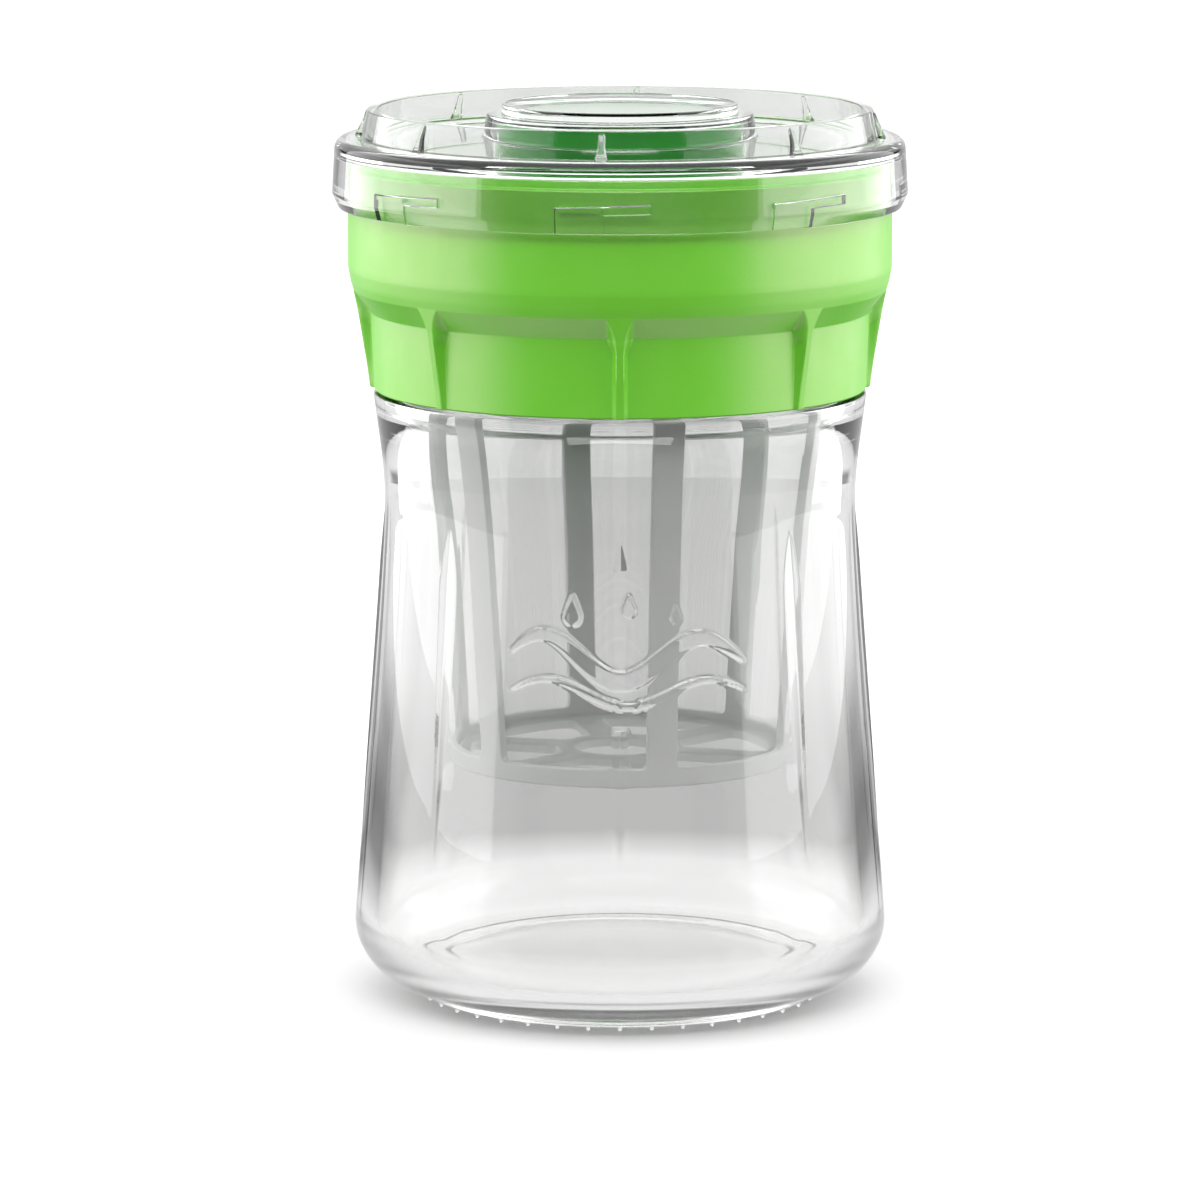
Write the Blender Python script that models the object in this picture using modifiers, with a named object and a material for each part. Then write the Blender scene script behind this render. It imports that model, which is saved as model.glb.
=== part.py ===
"""Kefir cheese maker: a glass jar, a screw collar that carries a hanging strainer, and a bayonet lid with a press.

Units are metres, +Z is up, and the origin is the centre of the jar's foot on the table.
Angles round the jar are measured from the front, which is -Y, towards +X.
"""

from math import atan2, cos, pi, radians, sin

import bmesh
import bpy
from mathutils import Matrix, Vector
from mathutils.geometry import interpolate_bezier

# Facets and fits
TURN_STEPS = 40
CURVE_POINTS = 7
ARC_POINTS = 4
SHARP_ANGLE = radians(35)
AXIS_MARK_SIZE = 0.01
SEAT_GAP = 0.0003
FINE_CHAMFER = 0.0004

# Strainer, from which the neck, the collar and the lid take their widths
STRAINER_RADIUS = 0.0386
STRAINER_BOTTOM_RADIUS = 0.0331
STRAINER_WALL = 0.0018
STRAINER_FLOOR = 0.0018
STRAINER_STRAIGHT_LENGTH = 0.0283
STRAINER_TOP_BAND = 0.0313
STRAINER_BOTTOM_BAND = 0.0038
STRAINER_FLANGE = 0.0020
STRAINER_RIM_HEIGHT = 0.0026
STRAINER_RIM_WIDTH = 0.0016
STRAINER_RIB_COUNT = 6
STRAINER_RIB_WIDTH = 0.0058
STRAINER_RIB_ANGLE = radians(13.6)
FLOOR_RING_OUTER = 0.0123
FLOOR_RING_INNER = 0.0087
FLOOR_EDGE_WIDTH = 0.0028
MESH_THICKNESS = 0.0005

# Jar
JAR_HEIGHT = 0.1410
WHEY_SPACE = 0.0386
JAR_FLOOR = 0.0052
JAR_RECESS = 0.0018
JAR_WALL = 0.0028
JAR_HEEL_WALL = 0.0042
NECK_CLEARANCE = 0.0024
NECK_WALL = 0.0026
LIP_CHAMFER = 0.0006
WAIST_SWELL = 0.0014
WAIST_BELOW_SHOULDER = 0.0222
BELLY_SWELL = 0.0062
BELLY_HEIGHT = 0.0149
BELLY_PULL_IN = 0.0012
BELLY_PULL_UP = 0.0152
WAIST_PULL_DOWN = 0.0112
NECK_PULL = 0.0088
HEEL_RADIUS = 0.0090
HEEL_ROUND = radians(58)
FLOOR_CORNER = 0.0086
FOOT_INSET = 0.0124
FOOT_HEIGHT = 0.0026
FOOT_WIDTH = 0.0045
SHOULDER_STEP = 0.0001
SHOULDER_ROUND = 0.0008
SHOULDER_PULL_IN = 0.0008
SHOULDER_PULL_DOWN = 0.0073
SHOULDER_GLASS = 0.0020

# Screw thread of the jar and the collar: rounded beads on one right-hand helix
THREAD_PITCH = 0.0060
THREAD_BEAD = 0.0011
THREAD_CLEARANCE = 0.0005
THREAD_TURNS = 1.0
THREAD_BELOW_LIP = 0.0060

# Collar
GASKET_THICKNESS = 0.0020
GASKET_OVERHANG = 0.0007
COLLAR_LEDGE = 0.0024
LEDGE_CLEARANCE = 0.0010
COLLAR_SKIRT_DEPTH = 0.0258
COLLAR_SKIRT_WALL = 0.0019
COLLAR_PANEL_FLARE = 0.0007
COLLAR_PANEL_TOP = 0.0107
COLLAR_SHOULDER_LOWER_RISE = 0.0020
COLLAR_SHOULDER_UPPER_RISE = 0.0027
COLLAR_SHOULDER_LOWER_IN = 0.0006
COLLAR_SHOULDER_UPPER_IN = 0.0005
COLLAR_BAND_OVERHANG = 0.0068
COLLAR_CUP_DEPTH = 0.0147
COLLAR_CUP_WALL = 0.0026
UPSTAND_HEIGHT = 0.0022
UPSTAND_INSET = 0.0020
UPSTAND_WALL = 0.0024
UPSTAND_ROOT = 0.0038
COLLAR_RIB_COUNT = 8
COLLAR_RIB_WIDTH = 0.0030
COLLAR_RIB_FOOT = 0.0008
COLLAR_RIB_HEAD = 0.0010
FLANGE_CLEARANCE = 0.0011

# Lid
LID_FIT = 0.0004
LID_SKIRT_WALL = 0.0026
LID_SKIRT_DEPTH = 0.0104
LID_SKIRT_DRAFT = 0.0006
LID_LIP_CHAMFER = 0.0013
LID_DECK = 0.0021
LID_EDGE_RISE = 0.0007
LID_EDGE_ROUND = 0.0025
LID_EDGE_EASE = 0.0008
GRIP_RING_INSET = 0.0056
GRIP_RING_HEIGHT = 0.0061
GRIP_RING_WALL = 0.0020
GRIP_RING_DRAFT = 0.0012
GRIP_RIB_COUNT = 8
GRIP_RIB_WIDTH = 0.0014
GRIP_RIB_REACH = 0.0013
GRIP_RIB_ANGLE = radians(-4)
BOSS_RADIUS = 0.0254
BOSS_DRAFT = 0.0008
BOSS_WALL = 0.0014
BOSS_HEIGHT = 0.0052
BOSS_STEP_IN = 0.0029
BOSS_STEP_UP = 0.0018
BOSS_RIM = 0.0017
BOSS_DISH = 0.0010
BOSS_ROOF = 0.0020
PLUG_WALL = 0.0018
PLUG_LIP = 0.0007
SEAL_WIDTH = 0.0018
SEAL_HEIGHT = 0.0030
SEAL_DROP = 0.0010

# Bayonet: lugs on the collar, L-shaped grooves inside the lid's skirt
BAYONET_COUNT = 8
BAYONET_SLOT_ANGLE = radians(-8.2)
BAYONET_ARM_ANGLE = radians(9.4)
LUG_WIDTH = 0.0080
LUG_HEIGHT = 0.0009
LUG_REACH = 0.0010
LUG_SINK = 0.0006
LUG_BELOW_BAND_TOP = 0.0035
GROOVE_SIDE_GAP = 0.00045
GROOVE_END_GAP = 0.0003
GROOVE_RADIAL_GAP = 0.0003
GROOVE_RISE = 0.0004

# Press under the lid
HOUSING_WALL = 0.0018
HOUSING_TUBE_INSET = 0.0037
HOUSING_LENGTH = 0.0272
HOUSING_ROOF = 0.0020
CATCH_HEIGHT = 0.0020
CATCH_OVERLAP = 0.0010
HUB_WALL = 0.0018
PRESS_REACH = 0.0190
PLATE_THICKNESS = 0.0024
PLATE_CLEARANCE = 0.0012
PLATE_RIM_HEIGHT = 0.0040
PLATE_RIM_WALL = 0.0014
PLATE_HOLE_RADIUS = 0.0025
PLATE_HOLE_COUNT = 12
SPRING_WIRE = 0.0016
SPRING_SIDE_GAP = 0.0006
SPRING_TURNS = 8
SPRING_TURN_POINTS = 10

# Widths that follow, from the strainer outwards
neck_bore = STRAINER_RADIUS + NECK_CLEARANCE
neck_radius = neck_bore + NECK_WALL
thread_crest = neck_radius + THREAD_BEAD
collar_bore = thread_crest + THREAD_CLEARANCE
collar_foot_radius = collar_bore + COLLAR_SKIRT_WALL
band_radius = collar_bore + COLLAR_BAND_OVERHANG
cup_bore = band_radius - COLLAR_CUP_WALL
upstand_radius = band_radius - UPSTAND_INSET
upstand_bore = upstand_radius - UPSTAND_WALL
ledge_bore = STRAINER_RADIUS + LEDGE_CLEARANCE
flange_radius = upstand_bore - FLANGE_CLEARANCE
skirt_bore = band_radius + LID_FIT
skirt_radius = skirt_bore + LID_SKIRT_WALL
shoulder_radius = collar_foot_radius + SHOULDER_STEP
waist_bore = neck_bore + WAIST_SWELL
waist_radius = waist_bore + JAR_WALL
belly_radius = waist_radius + BELLY_SWELL
foot_radius = belly_radius - FOOT_INSET

# Heights that follow, from the table upwards
jar_floor_top = JAR_RECESS + JAR_FLOOR
strainer_bottom = jar_floor_top + WHEY_SPACE
gasket_bottom = JAR_HEIGHT + SEAT_GAP
ledge_bottom = gasket_bottom + GASKET_THICKNESS + SEAT_GAP
ledge_top = ledge_bottom + COLLAR_LEDGE
flange_bottom = ledge_top + SEAT_GAP
band_top = ledge_top + COLLAR_CUP_DEPTH
upstand_top = band_top + UPSTAND_HEIGHT
collar_bottom = ledge_bottom - COLLAR_SKIRT_DEPTH
shoulder_top = collar_bottom - 2 * SEAT_GAP
waist_height = shoulder_top - WAIST_BELOW_SHOULDER
deck_bottom = upstand_top + SEAT_GAP
deck_top = deck_bottom + LID_DECK
boss_ceiling = deck_top + BOSS_HEIGHT - BOSS_ROOF
housing_top = boss_ceiling - SEAT_GAP
housing_bottom = housing_top - HOUSING_LENGTH
plate_top = housing_bottom - PRESS_REACH

scene = bpy.context.scene
for old in list(bpy.data.objects):
    bpy.data.objects.remove(old, do_unlink=True)
parts = bpy.data.collections.new("kefir_cheese_maker")
cutters = bpy.data.collections.new("cutters")
cutters.hide_render = True
scene.collection.children.link(parts)
scene.collection.children.link(cutters)


def front_direction(angle):
    """Unit vector at an angle from the front."""
    return Vector((sin(angle), -cos(angle), 0.0))


def turn_from_front(angle):
    """Turns a piece made at +X round to an angle from the front."""
    return Matrix.Rotation(angle - pi / 2, 4, "Z")


def spaced(count, first=0.0):
    """Angles of equal spacing round the jar."""
    return [first + 2 * pi * i / count for i in range(count)]


def link(name, mesh, cutter=False):
    piece = bpy.data.objects.new(name, mesh)
    if cutter:
        piece.hide_render = True
        piece.display_type = "WIRE"
    (cutters if cutter else parts).objects.link(piece)
    return piece


def turned(name, profile, closed, cutter=False):
    """A profile of (radius, height) points turned a full circle about Z."""
    mesh = bpy.data.meshes.new(name)
    edges = [(i, i + 1) for i in range(len(profile) - 1)]
    if closed:
        edges.append((len(profile) - 1, 0))
    mesh.from_pydata([(r, 0.0, z) for r, z in profile], edges, [])
    piece = link(name, mesh, cutter)
    screw = piece.modifiers.new("turn", "SCREW")
    screw.steps = TURN_STEPS
    screw.render_steps = TURN_STEPS
    screw.use_merge_vertices = True
    screw.merge_threshold = 0.00001
    return piece


def block(name, size, matrix, cutter=True):
    """A box of the given size, centred where the matrix puts it."""
    mesh = bpy.data.meshes.new(name)
    shape = bmesh.new()
    bmesh.ops.create_cube(shape, size=1.0, matrix=matrix @ Matrix.Diagonal((*size, 1.0)))
    shape.to_mesh(mesh)
    shape.free()
    return link(name, mesh, cutter)


def rod(name, radius, low, high, centre, sides):
    """An upright round cutter."""
    mesh = bpy.data.meshes.new(name)
    shape = bmesh.new()
    middle = Matrix.Translation((centre.x, centre.y, (low + high) / 2))
    bmesh.ops.create_cone(
        shape, cap_ends=True, segments=sides, radius1=radius, radius2=radius, depth=high - low, matrix=middle
    )
    shape.to_mesh(mesh)
    shape.free()
    return link(name, mesh, cutter=True)


def rib(name, outline, width, angle):
    """A flat outline of (radius, height) points, thickened to a rib that stands out at an angle from the front."""
    curve = bpy.data.curves.new(name, "CURVE")
    curve.dimensions = "2D"
    curve.fill_mode = "BOTH"
    curve.extrude = width / 2
    spline = curve.splines.new("POLY")
    spline.points.add(len(outline) - 1)
    for point, (r, z) in zip(spline.points, outline):
        point.co = (r, z, 0.0, 1.0)
    spline.use_cyclic_u = True
    guide = link(name, curve, cutter=True)
    guide.matrix_world = turn_from_front(angle) @ Matrix.Rotation(pi / 2, 4, "X")
    return made_mesh(guide)


def bead(name, points, radius):
    """A round tube through the points, as a closed mesh."""
    curve = bpy.data.curves.new(name, "CURVE")
    curve.dimensions = "3D"
    curve.bevel_depth = radius
    curve.bevel_resolution = 1
    curve.use_fill_caps = True
    spline = curve.splines.new("POLY")
    spline.points.add(len(points) - 1)
    for point, place in zip(spline.points, points):
        point.co = (*place, 1.0)
    return made_mesh(link(name, curve, cutter=True))


def made_mesh(guide):
    """The mesh of a curve, with its caps welded on."""
    bpy.context.view_layer.update()
    mesh = bpy.data.meshes.new_from_object(guide.evaluated_get(bpy.context.evaluated_depsgraph_get()))
    shape = bmesh.new()
    shape.from_mesh(mesh)
    bmesh.ops.remove_doubles(shape, verts=shape.verts, dist=0.000001)
    bmesh.ops.recalc_face_normals(shape, faces=shape.faces)
    bmesh.ops.transform(shape, matrix=guide.matrix_world, verts=shape.verts)
    shape.to_mesh(mesh)
    shape.free()
    name = guide.name
    curve = guide.data
    bpy.data.objects.remove(guide)
    bpy.data.curves.remove(curve)
    mesh.name = name
    return link(name, mesh, cutter=True)


def combine(piece, others, operation):
    """Adds or cuts each of the other shapes."""
    for other in others:
        step = piece.modifiers.new(other.name, "BOOLEAN")
        step.operation = operation
        step.solver = "MANIFOLD"
        step.object = other


def finish(piece, colour, roughness, metallic=0.0, transmission=0.0):
    """Bakes the shape, shades it smooth where it is round, and gives it its own material."""
    bpy.context.view_layer.update()
    graph = bpy.context.evaluated_depsgraph_get()
    mesh = bpy.data.meshes.new_from_object(piece.evaluated_get(graph))
    piece.modifiers.clear()
    piece.data = mesh
    mesh.name = piece.name
    mesh.shade_smooth()
    mesh.set_sharp_from_angle(angle=SHARP_ANGLE)
    material = bpy.data.materials.new(piece.name)
    material.use_nodes = True
    shader = material.node_tree.nodes["Principled BSDF"]
    shader.inputs["Base Color"].default_value = (*colour, 1.0)
    shader.inputs["Roughness"].default_value = roughness
    shader.inputs["Metallic"].default_value = metallic
    shader.inputs["Transmission Weight"].default_value = transmission
    mesh.materials.clear()
    mesh.materials.append(material)
    return piece


def arc(centre, radius, start, end):
    """Points of (radius, height) along a round, with angles from level."""
    angles = [start + (end - start) * i / ARC_POINTS for i in range(ARC_POINTS + 1)]
    return [(centre[0] + radius * cos(angle), centre[1] + radius * sin(angle)) for angle in angles]


def sweep(start, pull_start, pull_end, end):
    """Points of a smooth curve between two ends of an outline, without its last point."""
    points = interpolate_bezier(
        Vector((*start, 0)), Vector((*pull_start, 0)), Vector((*pull_end, 0)), Vector((*end, 0)), CURVE_POINTS
    )
    return [(point.x, point.y) for point in points[:-1]]


def helix(radius, pitch, turns, first_height, steps):
    """Points of a right-hand helix about Z that climbs from the front."""
    count = round(turns * steps)
    points = []
    for i in range(count + 1):
        place = front_direction(2 * pi * i / steps) * radius
        place.z = first_height + pitch * i / steps
        points.append(place)
    return points


def make_jar():
    """Glass jar: inside from the floor's centre up to the lip, then down the outside to the foot."""
    floor_radius = belly_radius - JAR_HEEL_WALL - FLOOR_CORNER
    heel_top = (belly_radius, BELLY_HEIGHT)
    corner_top = (belly_radius - JAR_HEEL_WALL, jar_floor_top + FLOOR_CORNER)
    waist_pull = waist_height - WAIST_PULL_DOWN
    neck_foot = shoulder_top - SHOULDER_GLASS
    inside = [(0.0, jar_floor_top)]
    inside += arc((floor_radius, jar_floor_top + FLOOR_CORNER), FLOOR_CORNER, -pi / 2, 0.0)[:-1]
    inside += sweep(
        corner_top,
        (corner_top[0] - BELLY_PULL_IN, corner_top[1] + BELLY_PULL_UP),
        (waist_bore, waist_pull),
        (waist_bore, waist_height),
    )
    inside += sweep(
        (waist_bore, waist_height),
        (waist_bore, waist_height + NECK_PULL),
        (waist_bore, neck_foot - NECK_PULL / 2),
        (neck_bore, neck_foot),
    )
    lip = [
        (neck_bore, neck_foot),
        (neck_bore, JAR_HEIGHT - LIP_CHAMFER),
        (neck_bore + LIP_CHAMFER, JAR_HEIGHT),
        (neck_radius - LIP_CHAMFER, JAR_HEIGHT),
        (neck_radius, JAR_HEIGHT - LIP_CHAMFER),
        (neck_radius, shoulder_top),
        (shoulder_radius - SHOULDER_ROUND, shoulder_top),
    ]
    shoulder_edge = (shoulder_radius, shoulder_top - SHOULDER_ROUND)
    outside = sweep(
        shoulder_edge,
        (shoulder_radius - SHOULDER_PULL_IN, shoulder_edge[1] - SHOULDER_PULL_DOWN),
        (waist_radius, waist_height + NECK_PULL),
        (waist_radius, waist_height),
    )
    outside += sweep(
        (waist_radius, waist_height),
        (waist_radius, waist_pull),
        (belly_radius - BELLY_PULL_IN, BELLY_HEIGHT + BELLY_PULL_UP),
        heel_top,
    )
    heel = arc((belly_radius - HEEL_RADIUS, BELLY_HEIGHT), HEEL_RADIUS, 0.0, -HEEL_ROUND)
    foot = [
        (foot_radius + FINE_CHAMFER, FOOT_HEIGHT),
        (foot_radius, FOOT_HEIGHT - FINE_CHAMFER),
        (foot_radius, FINE_CHAMFER),
        (foot_radius - FINE_CHAMFER, 0.0),
        (foot_radius - FOOT_WIDTH, 0.0),
        (foot_radius - FOOT_WIDTH - JAR_RECESS / 2, JAR_RECESS),
        (0.0, JAR_RECESS),
    ]
    jar = turned("jar", inside + lip + outside + heel + foot, closed=False)
    thread = bead("jar_thread", helix(neck_radius, THREAD_PITCH, THREAD_TURNS, thread_start(), TURN_STEPS), THREAD_BEAD)
    combine(jar, [thread], "UNION")
    return finish(jar, (0.92, 0.94, 0.93), 0.02, transmission=1.0)


def thread_start():
    """Height where the jar's thread begins, so that it ends a set depth below the lip."""
    return JAR_HEIGHT - THREAD_BELOW_LIP - THREAD_TURNS * THREAD_PITCH


def make_collar_gasket():
    """Silicone ring on the jar's lip."""
    inner = neck_bore - GASKET_OVERHANG
    outer = neck_radius + GASKET_OVERHANG
    top = gasket_bottom + GASKET_THICKNESS
    ring = [(outer, top), (outer, gasket_bottom), (inner, gasket_bottom), (inner, top)]
    return finish(turned("collar_gasket", ring, closed=True), (0.86, 0.87, 0.85), 0.55)


def make_collar():
    """Green screw collar: band and skirt outside, thread, strainer ledge and lid upstand inside."""
    panel_top = ledge_bottom - COLLAR_PANEL_TOP
    panel_top_radius = collar_foot_radius + COLLAR_PANEL_FLARE
    shoulder_mid_radius = band_radius - COLLAR_SHOULDER_UPPER_IN
    shoulder_low_radius = shoulder_mid_radius - COLLAR_SHOULDER_LOWER_IN
    shoulder_low = panel_top + shoulder_low_radius - panel_top_radius
    shoulder_mid = shoulder_low + COLLAR_SHOULDER_LOWER_RISE
    profile = [
        (upstand_radius - FINE_CHAMFER, upstand_top),
        (upstand_radius, upstand_top - FINE_CHAMFER),
        (upstand_radius, band_top),
        (band_radius - FINE_CHAMFER, band_top),
        (band_radius, band_top - FINE_CHAMFER),
        (band_radius, shoulder_mid + COLLAR_SHOULDER_UPPER_RISE),
        (shoulder_mid_radius, shoulder_mid),
        (shoulder_low_radius, shoulder_low),
        (panel_top_radius, panel_top),
        (collar_foot_radius, collar_bottom),
        (collar_bore, collar_bottom),
        (collar_bore, ledge_bottom),
        (ledge_bore, ledge_bottom),
        (ledge_bore, ledge_top),
        (cup_bore, ledge_top),
        (cup_bore, upstand_top - UPSTAND_ROOT - (cup_bore - upstand_bore)),
        (upstand_bore, upstand_top - UPSTAND_ROOT),
        (upstand_bore, upstand_top),
    ]
    collar = turned("collar", profile, closed=True)
    root = (collar_bore + collar_foot_radius) / 2
    rib_outline = [
        (root, collar_bottom - SEAT_GAP / 3),
        (collar_foot_radius + COLLAR_RIB_FOOT, collar_bottom - SEAT_GAP / 3),
        (band_radius - COLLAR_RIB_HEAD, shoulder_low),
        (root, shoulder_low),
    ]
    ribs = [
        rib(f"collar_rib_{i}", rib_outline, COLLAR_RIB_WIDTH, angle)
        for i, angle in enumerate(spaced(COLLAR_RIB_COUNT))
    ]
    lug_middle = band_radius + (LUG_REACH - LUG_SINK) / 2
    lug_height = band_top - LUG_BELOW_BAND_TOP
    lugs = [
        block(
            f"collar_lug_{i}",
            (LUG_REACH + LUG_SINK, LUG_WIDTH, LUG_HEIGHT),
            turn_from_front(angle) @ Matrix.Translation((lug_middle, 0.0, lug_height)),
        )
        for i, angle in enumerate(spaced(BAYONET_COUNT, BAYONET_SLOT_ANGLE))
    ]
    thread_drop = axial_step_between_beads()
    thread = bead(
        "collar_thread",
        helix(collar_bore, THREAD_PITCH, THREAD_TURNS, thread_start() - thread_drop, TURN_STEPS),
        THREAD_BEAD,
    )
    combine(collar, ribs + lugs + [thread], "UNION")
    return finish(collar, (0.14, 0.55, 0.02), 0.38)


def axial_step_between_beads():
    """How far the collar's bead lies below the jar's, so that a seat gap is left between the two round beads."""
    centres_apart = 2 * THREAD_BEAD + SEAT_GAP
    radial = collar_bore - neck_radius
    return (centres_apart**2 - radial**2) ** 0.5


def strainer_outer(height):
    """Outer radius of the strainer at a height: straight under the rim, then tapered to the bottom."""
    taper_top = flange_bottom - STRAINER_STRAIGHT_LENGTH
    share = min(1.0, (height - strainer_bottom) / (taper_top - strainer_bottom))
    return STRAINER_BOTTOM_RADIUS + (STRAINER_RADIUS - STRAINER_BOTTOM_RADIUS) * share


def strainer_inner(height):
    return strainer_outer(height) - STRAINER_WALL


def make_strainer_frame():
    """Grey basket frame: a tapered cup, its wall and floor opened between six ribs and spokes."""
    taper_top = flange_bottom - STRAINER_STRAIGHT_LENGTH
    floor_top = strainer_bottom + STRAINER_FLOOR
    flange_top = flange_bottom + STRAINER_FLANGE
    rim_top = flange_top + STRAINER_RIM_HEIGHT
    cup = turned(
        "strainer_frame",
        [
            (FLOOR_RING_INNER, floor_top),
            (strainer_inner(floor_top), floor_top),
            (strainer_inner(taper_top), taper_top),
            (strainer_inner(flange_top), flange_top),
            (flange_radius - STRAINER_RIM_WIDTH, flange_top),
            (flange_radius - STRAINER_RIM_WIDTH, rim_top),
            (flange_radius, rim_top),
            (flange_radius, flange_bottom),
            (STRAINER_RADIUS, flange_bottom),
            (STRAINER_RADIUS, taper_top),
            (STRAINER_BOTTOM_RADIUS, strainer_bottom),
            (FLOOR_RING_INNER, strainer_bottom),
        ],
        closed=True,
    )
    window_bottom = strainer_bottom + STRAINER_BOTTOM_BAND
    window_top = flange_bottom - STRAINER_TOP_BAND
    reach = 2 * STRAINER_WALL
    windows = turned(
        "strainer_windows",
        [
            (strainer_outer(window_top) + reach, window_top),
            (strainer_outer(window_bottom) + reach, window_bottom),
            (strainer_inner(window_bottom) - reach, window_bottom),
            (strainer_inner(window_top) - reach, window_top),
        ],
        closed=True,
        cutter=True,
    )
    floor_edge = strainer_inner(floor_top) - FLOOR_EDGE_WIDTH
    floor_gaps = turned(
        "strainer_floor_gaps",
        [
            (floor_edge, floor_top + STRAINER_FLOOR),
            (floor_edge, strainer_bottom - STRAINER_FLOOR),
            (FLOOR_RING_OUTER, strainer_bottom - STRAINER_FLOOR),
            (FLOOR_RING_OUTER, floor_top + STRAINER_FLOOR),
        ],
        closed=True,
        cutter=True,
    )
    across = 4 * STRAINER_RADIUS
    tall = 2 * (window_top - strainer_bottom)
    slabs = [
        block(
            f"strainer_rib_slab_{i}",
            (across, STRAINER_RIB_WIDTH, tall),
            turn_from_front(angle) @ Matrix.Translation((0.0, 0.0, (window_top + strainer_bottom) / 2)),
        )
        for i, angle in enumerate(spaced(STRAINER_RIB_COUNT, STRAINER_RIB_ANGLE)[: STRAINER_RIB_COUNT // 2])
    ]
    combine(windows, slabs, "DIFFERENCE")
    combine(floor_gaps, slabs, "DIFFERENCE")
    combine(cup, [windows, floor_gaps], "DIFFERENCE")
    return finish(cup, (0.42, 0.43, 0.42), 0.45)


def make_strainer_mesh_wall():
    """Fine mesh sleeve lining the frame's wall."""
    low = strainer_bottom + STRAINER_FLOOR + SEAT_GAP
    high = flange_bottom - STRAINER_STRAIGHT_LENGTH
    sleeve = [
        (strainer_inner(high) - SEAT_GAP, high),
        (strainer_inner(low) - SEAT_GAP, low),
        (strainer_inner(low) - SEAT_GAP - MESH_THICKNESS, low),
        (strainer_inner(high) - SEAT_GAP - MESH_THICKNESS, high),
    ]
    return finish(turned("strainer_mesh_wall", sleeve, closed=True), (0.78, 0.79, 0.78), 0.6)


def make_strainer_mesh_floor():
    """Fine mesh disc on the frame's spokes."""
    low = strainer_bottom + STRAINER_FLOOR + SEAT_GAP
    high = low + MESH_THICKNESS
    radius = strainer_inner(low) - 2 * SEAT_GAP - MESH_THICKNESS
    disc = [(0.0, high), (radius, high), (radius, low), (0.0, low)]
    return finish(turned("strainer_mesh_floor", disc, closed=False), (0.78, 0.79, 0.78), 0.6)


def plug_radius():
    """Outer radius of the lid's plug, inside its seal."""
    return upstand_bore - 2 * SEAT_GAP - SEAL_WIDTH


def seal_top():
    return deck_bottom - SEAL_DROP


def make_lid():
    """Clear lid: boss, deck, grip ring and skirt outside, grooves, plug and boss hollow inside."""
    boss_top = deck_top + BOSS_HEIGHT
    step_radius = BOSS_RADIUS - BOSS_STEP_IN
    step_top = boss_top + BOSS_STEP_UP
    ring_radius = skirt_radius - GRIP_RING_INSET
    ring_top = deck_top + GRIP_RING_HEIGHT
    edge_top = deck_top + LID_EDGE_RISE
    edge_radius = skirt_radius - LID_SKIRT_DRAFT
    skirt_bottom = deck_bottom - LID_SKIRT_DEPTH
    plug_bottom = seal_top() - SEAL_HEIGHT - SEAT_GAP - PLUG_LIP
    lip_radius = plug_radius() + SEAL_WIDTH / 2
    plug_bore = plug_radius() - PLUG_WALL
    hollow = BOSS_RADIUS - BOSS_WALL
    profile = [
        (0.0, step_top - BOSS_DISH),
        (step_radius - BOSS_RIM - BOSS_DISH / 2, step_top - BOSS_DISH),
        (step_radius - BOSS_RIM, step_top),
        (step_radius - FINE_CHAMFER, step_top),
        (step_radius, step_top - FINE_CHAMFER),
        (step_radius, boss_top),
        (BOSS_RADIUS - FINE_CHAMFER, boss_top),
        (BOSS_RADIUS, boss_top - FINE_CHAMFER),
        (BOSS_RADIUS + BOSS_DRAFT, deck_top),
        (ring_radius - GRIP_RING_WALL, deck_top),
        (ring_radius - GRIP_RING_WALL - GRIP_RING_DRAFT, ring_top - FINE_CHAMFER),
        (ring_radius - GRIP_RING_WALL - GRIP_RING_DRAFT + FINE_CHAMFER, ring_top),
        (ring_radius - GRIP_RING_DRAFT - FINE_CHAMFER, ring_top),
        (ring_radius - GRIP_RING_DRAFT, ring_top - FINE_CHAMFER),
        (ring_radius, edge_top),
        (edge_radius - LID_EDGE_ROUND, edge_top),
        (edge_radius - LID_EDGE_EASE, edge_top - LID_EDGE_EASE),
        (edge_radius, edge_top - LID_EDGE_ROUND),
        (skirt_radius, skirt_bottom + LID_SKIRT_WALL),
        (skirt_radius - LID_LIP_CHAMFER, skirt_bottom),
        (skirt_bore, skirt_bottom),
        (skirt_bore, deck_bottom),
        (plug_radius(), deck_bottom),
        (plug_radius(), seal_top() - SEAL_HEIGHT - SEAT_GAP),
        (lip_radius, seal_top() - SEAL_HEIGHT - SEAT_GAP),
        (lip_radius, plug_bottom),
        (plug_bore, plug_bottom),
        (plug_bore, deck_bottom),
        (hollow, deck_bottom),
        (hollow, boss_ceiling),
        (0.0, boss_ceiling),
    ]
    lid = turned("lid", profile, closed=False)
    rib_foot = ring_radius - GRIP_RING_WALL / 2
    grip_outline = [
        (rib_foot, edge_top - LID_EDGE_RISE),
        (ring_radius + GRIP_RIB_REACH, edge_top - LID_EDGE_RISE),
        (ring_radius + GRIP_RIB_REACH, edge_top),
        (ring_radius - GRIP_RING_DRAFT, ring_top - 2 * FINE_CHAMFER),
        (rib_foot - GRIP_RING_DRAFT, ring_top - 2 * FINE_CHAMFER),
    ]
    grips = [
        rib(f"grip_rib_{i}", grip_outline, GRIP_RIB_WIDTH, angle)
        for i, angle in enumerate(spaced(GRIP_RIB_COUNT, GRIP_RIB_ANGLE))
    ]
    combine(lid, grips, "UNION")
    combine(lid, bayonet_grooves(), "DIFFERENCE")
    return finish(lid, (0.93, 0.95, 0.93), 0.04, transmission=1.0)


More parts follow.
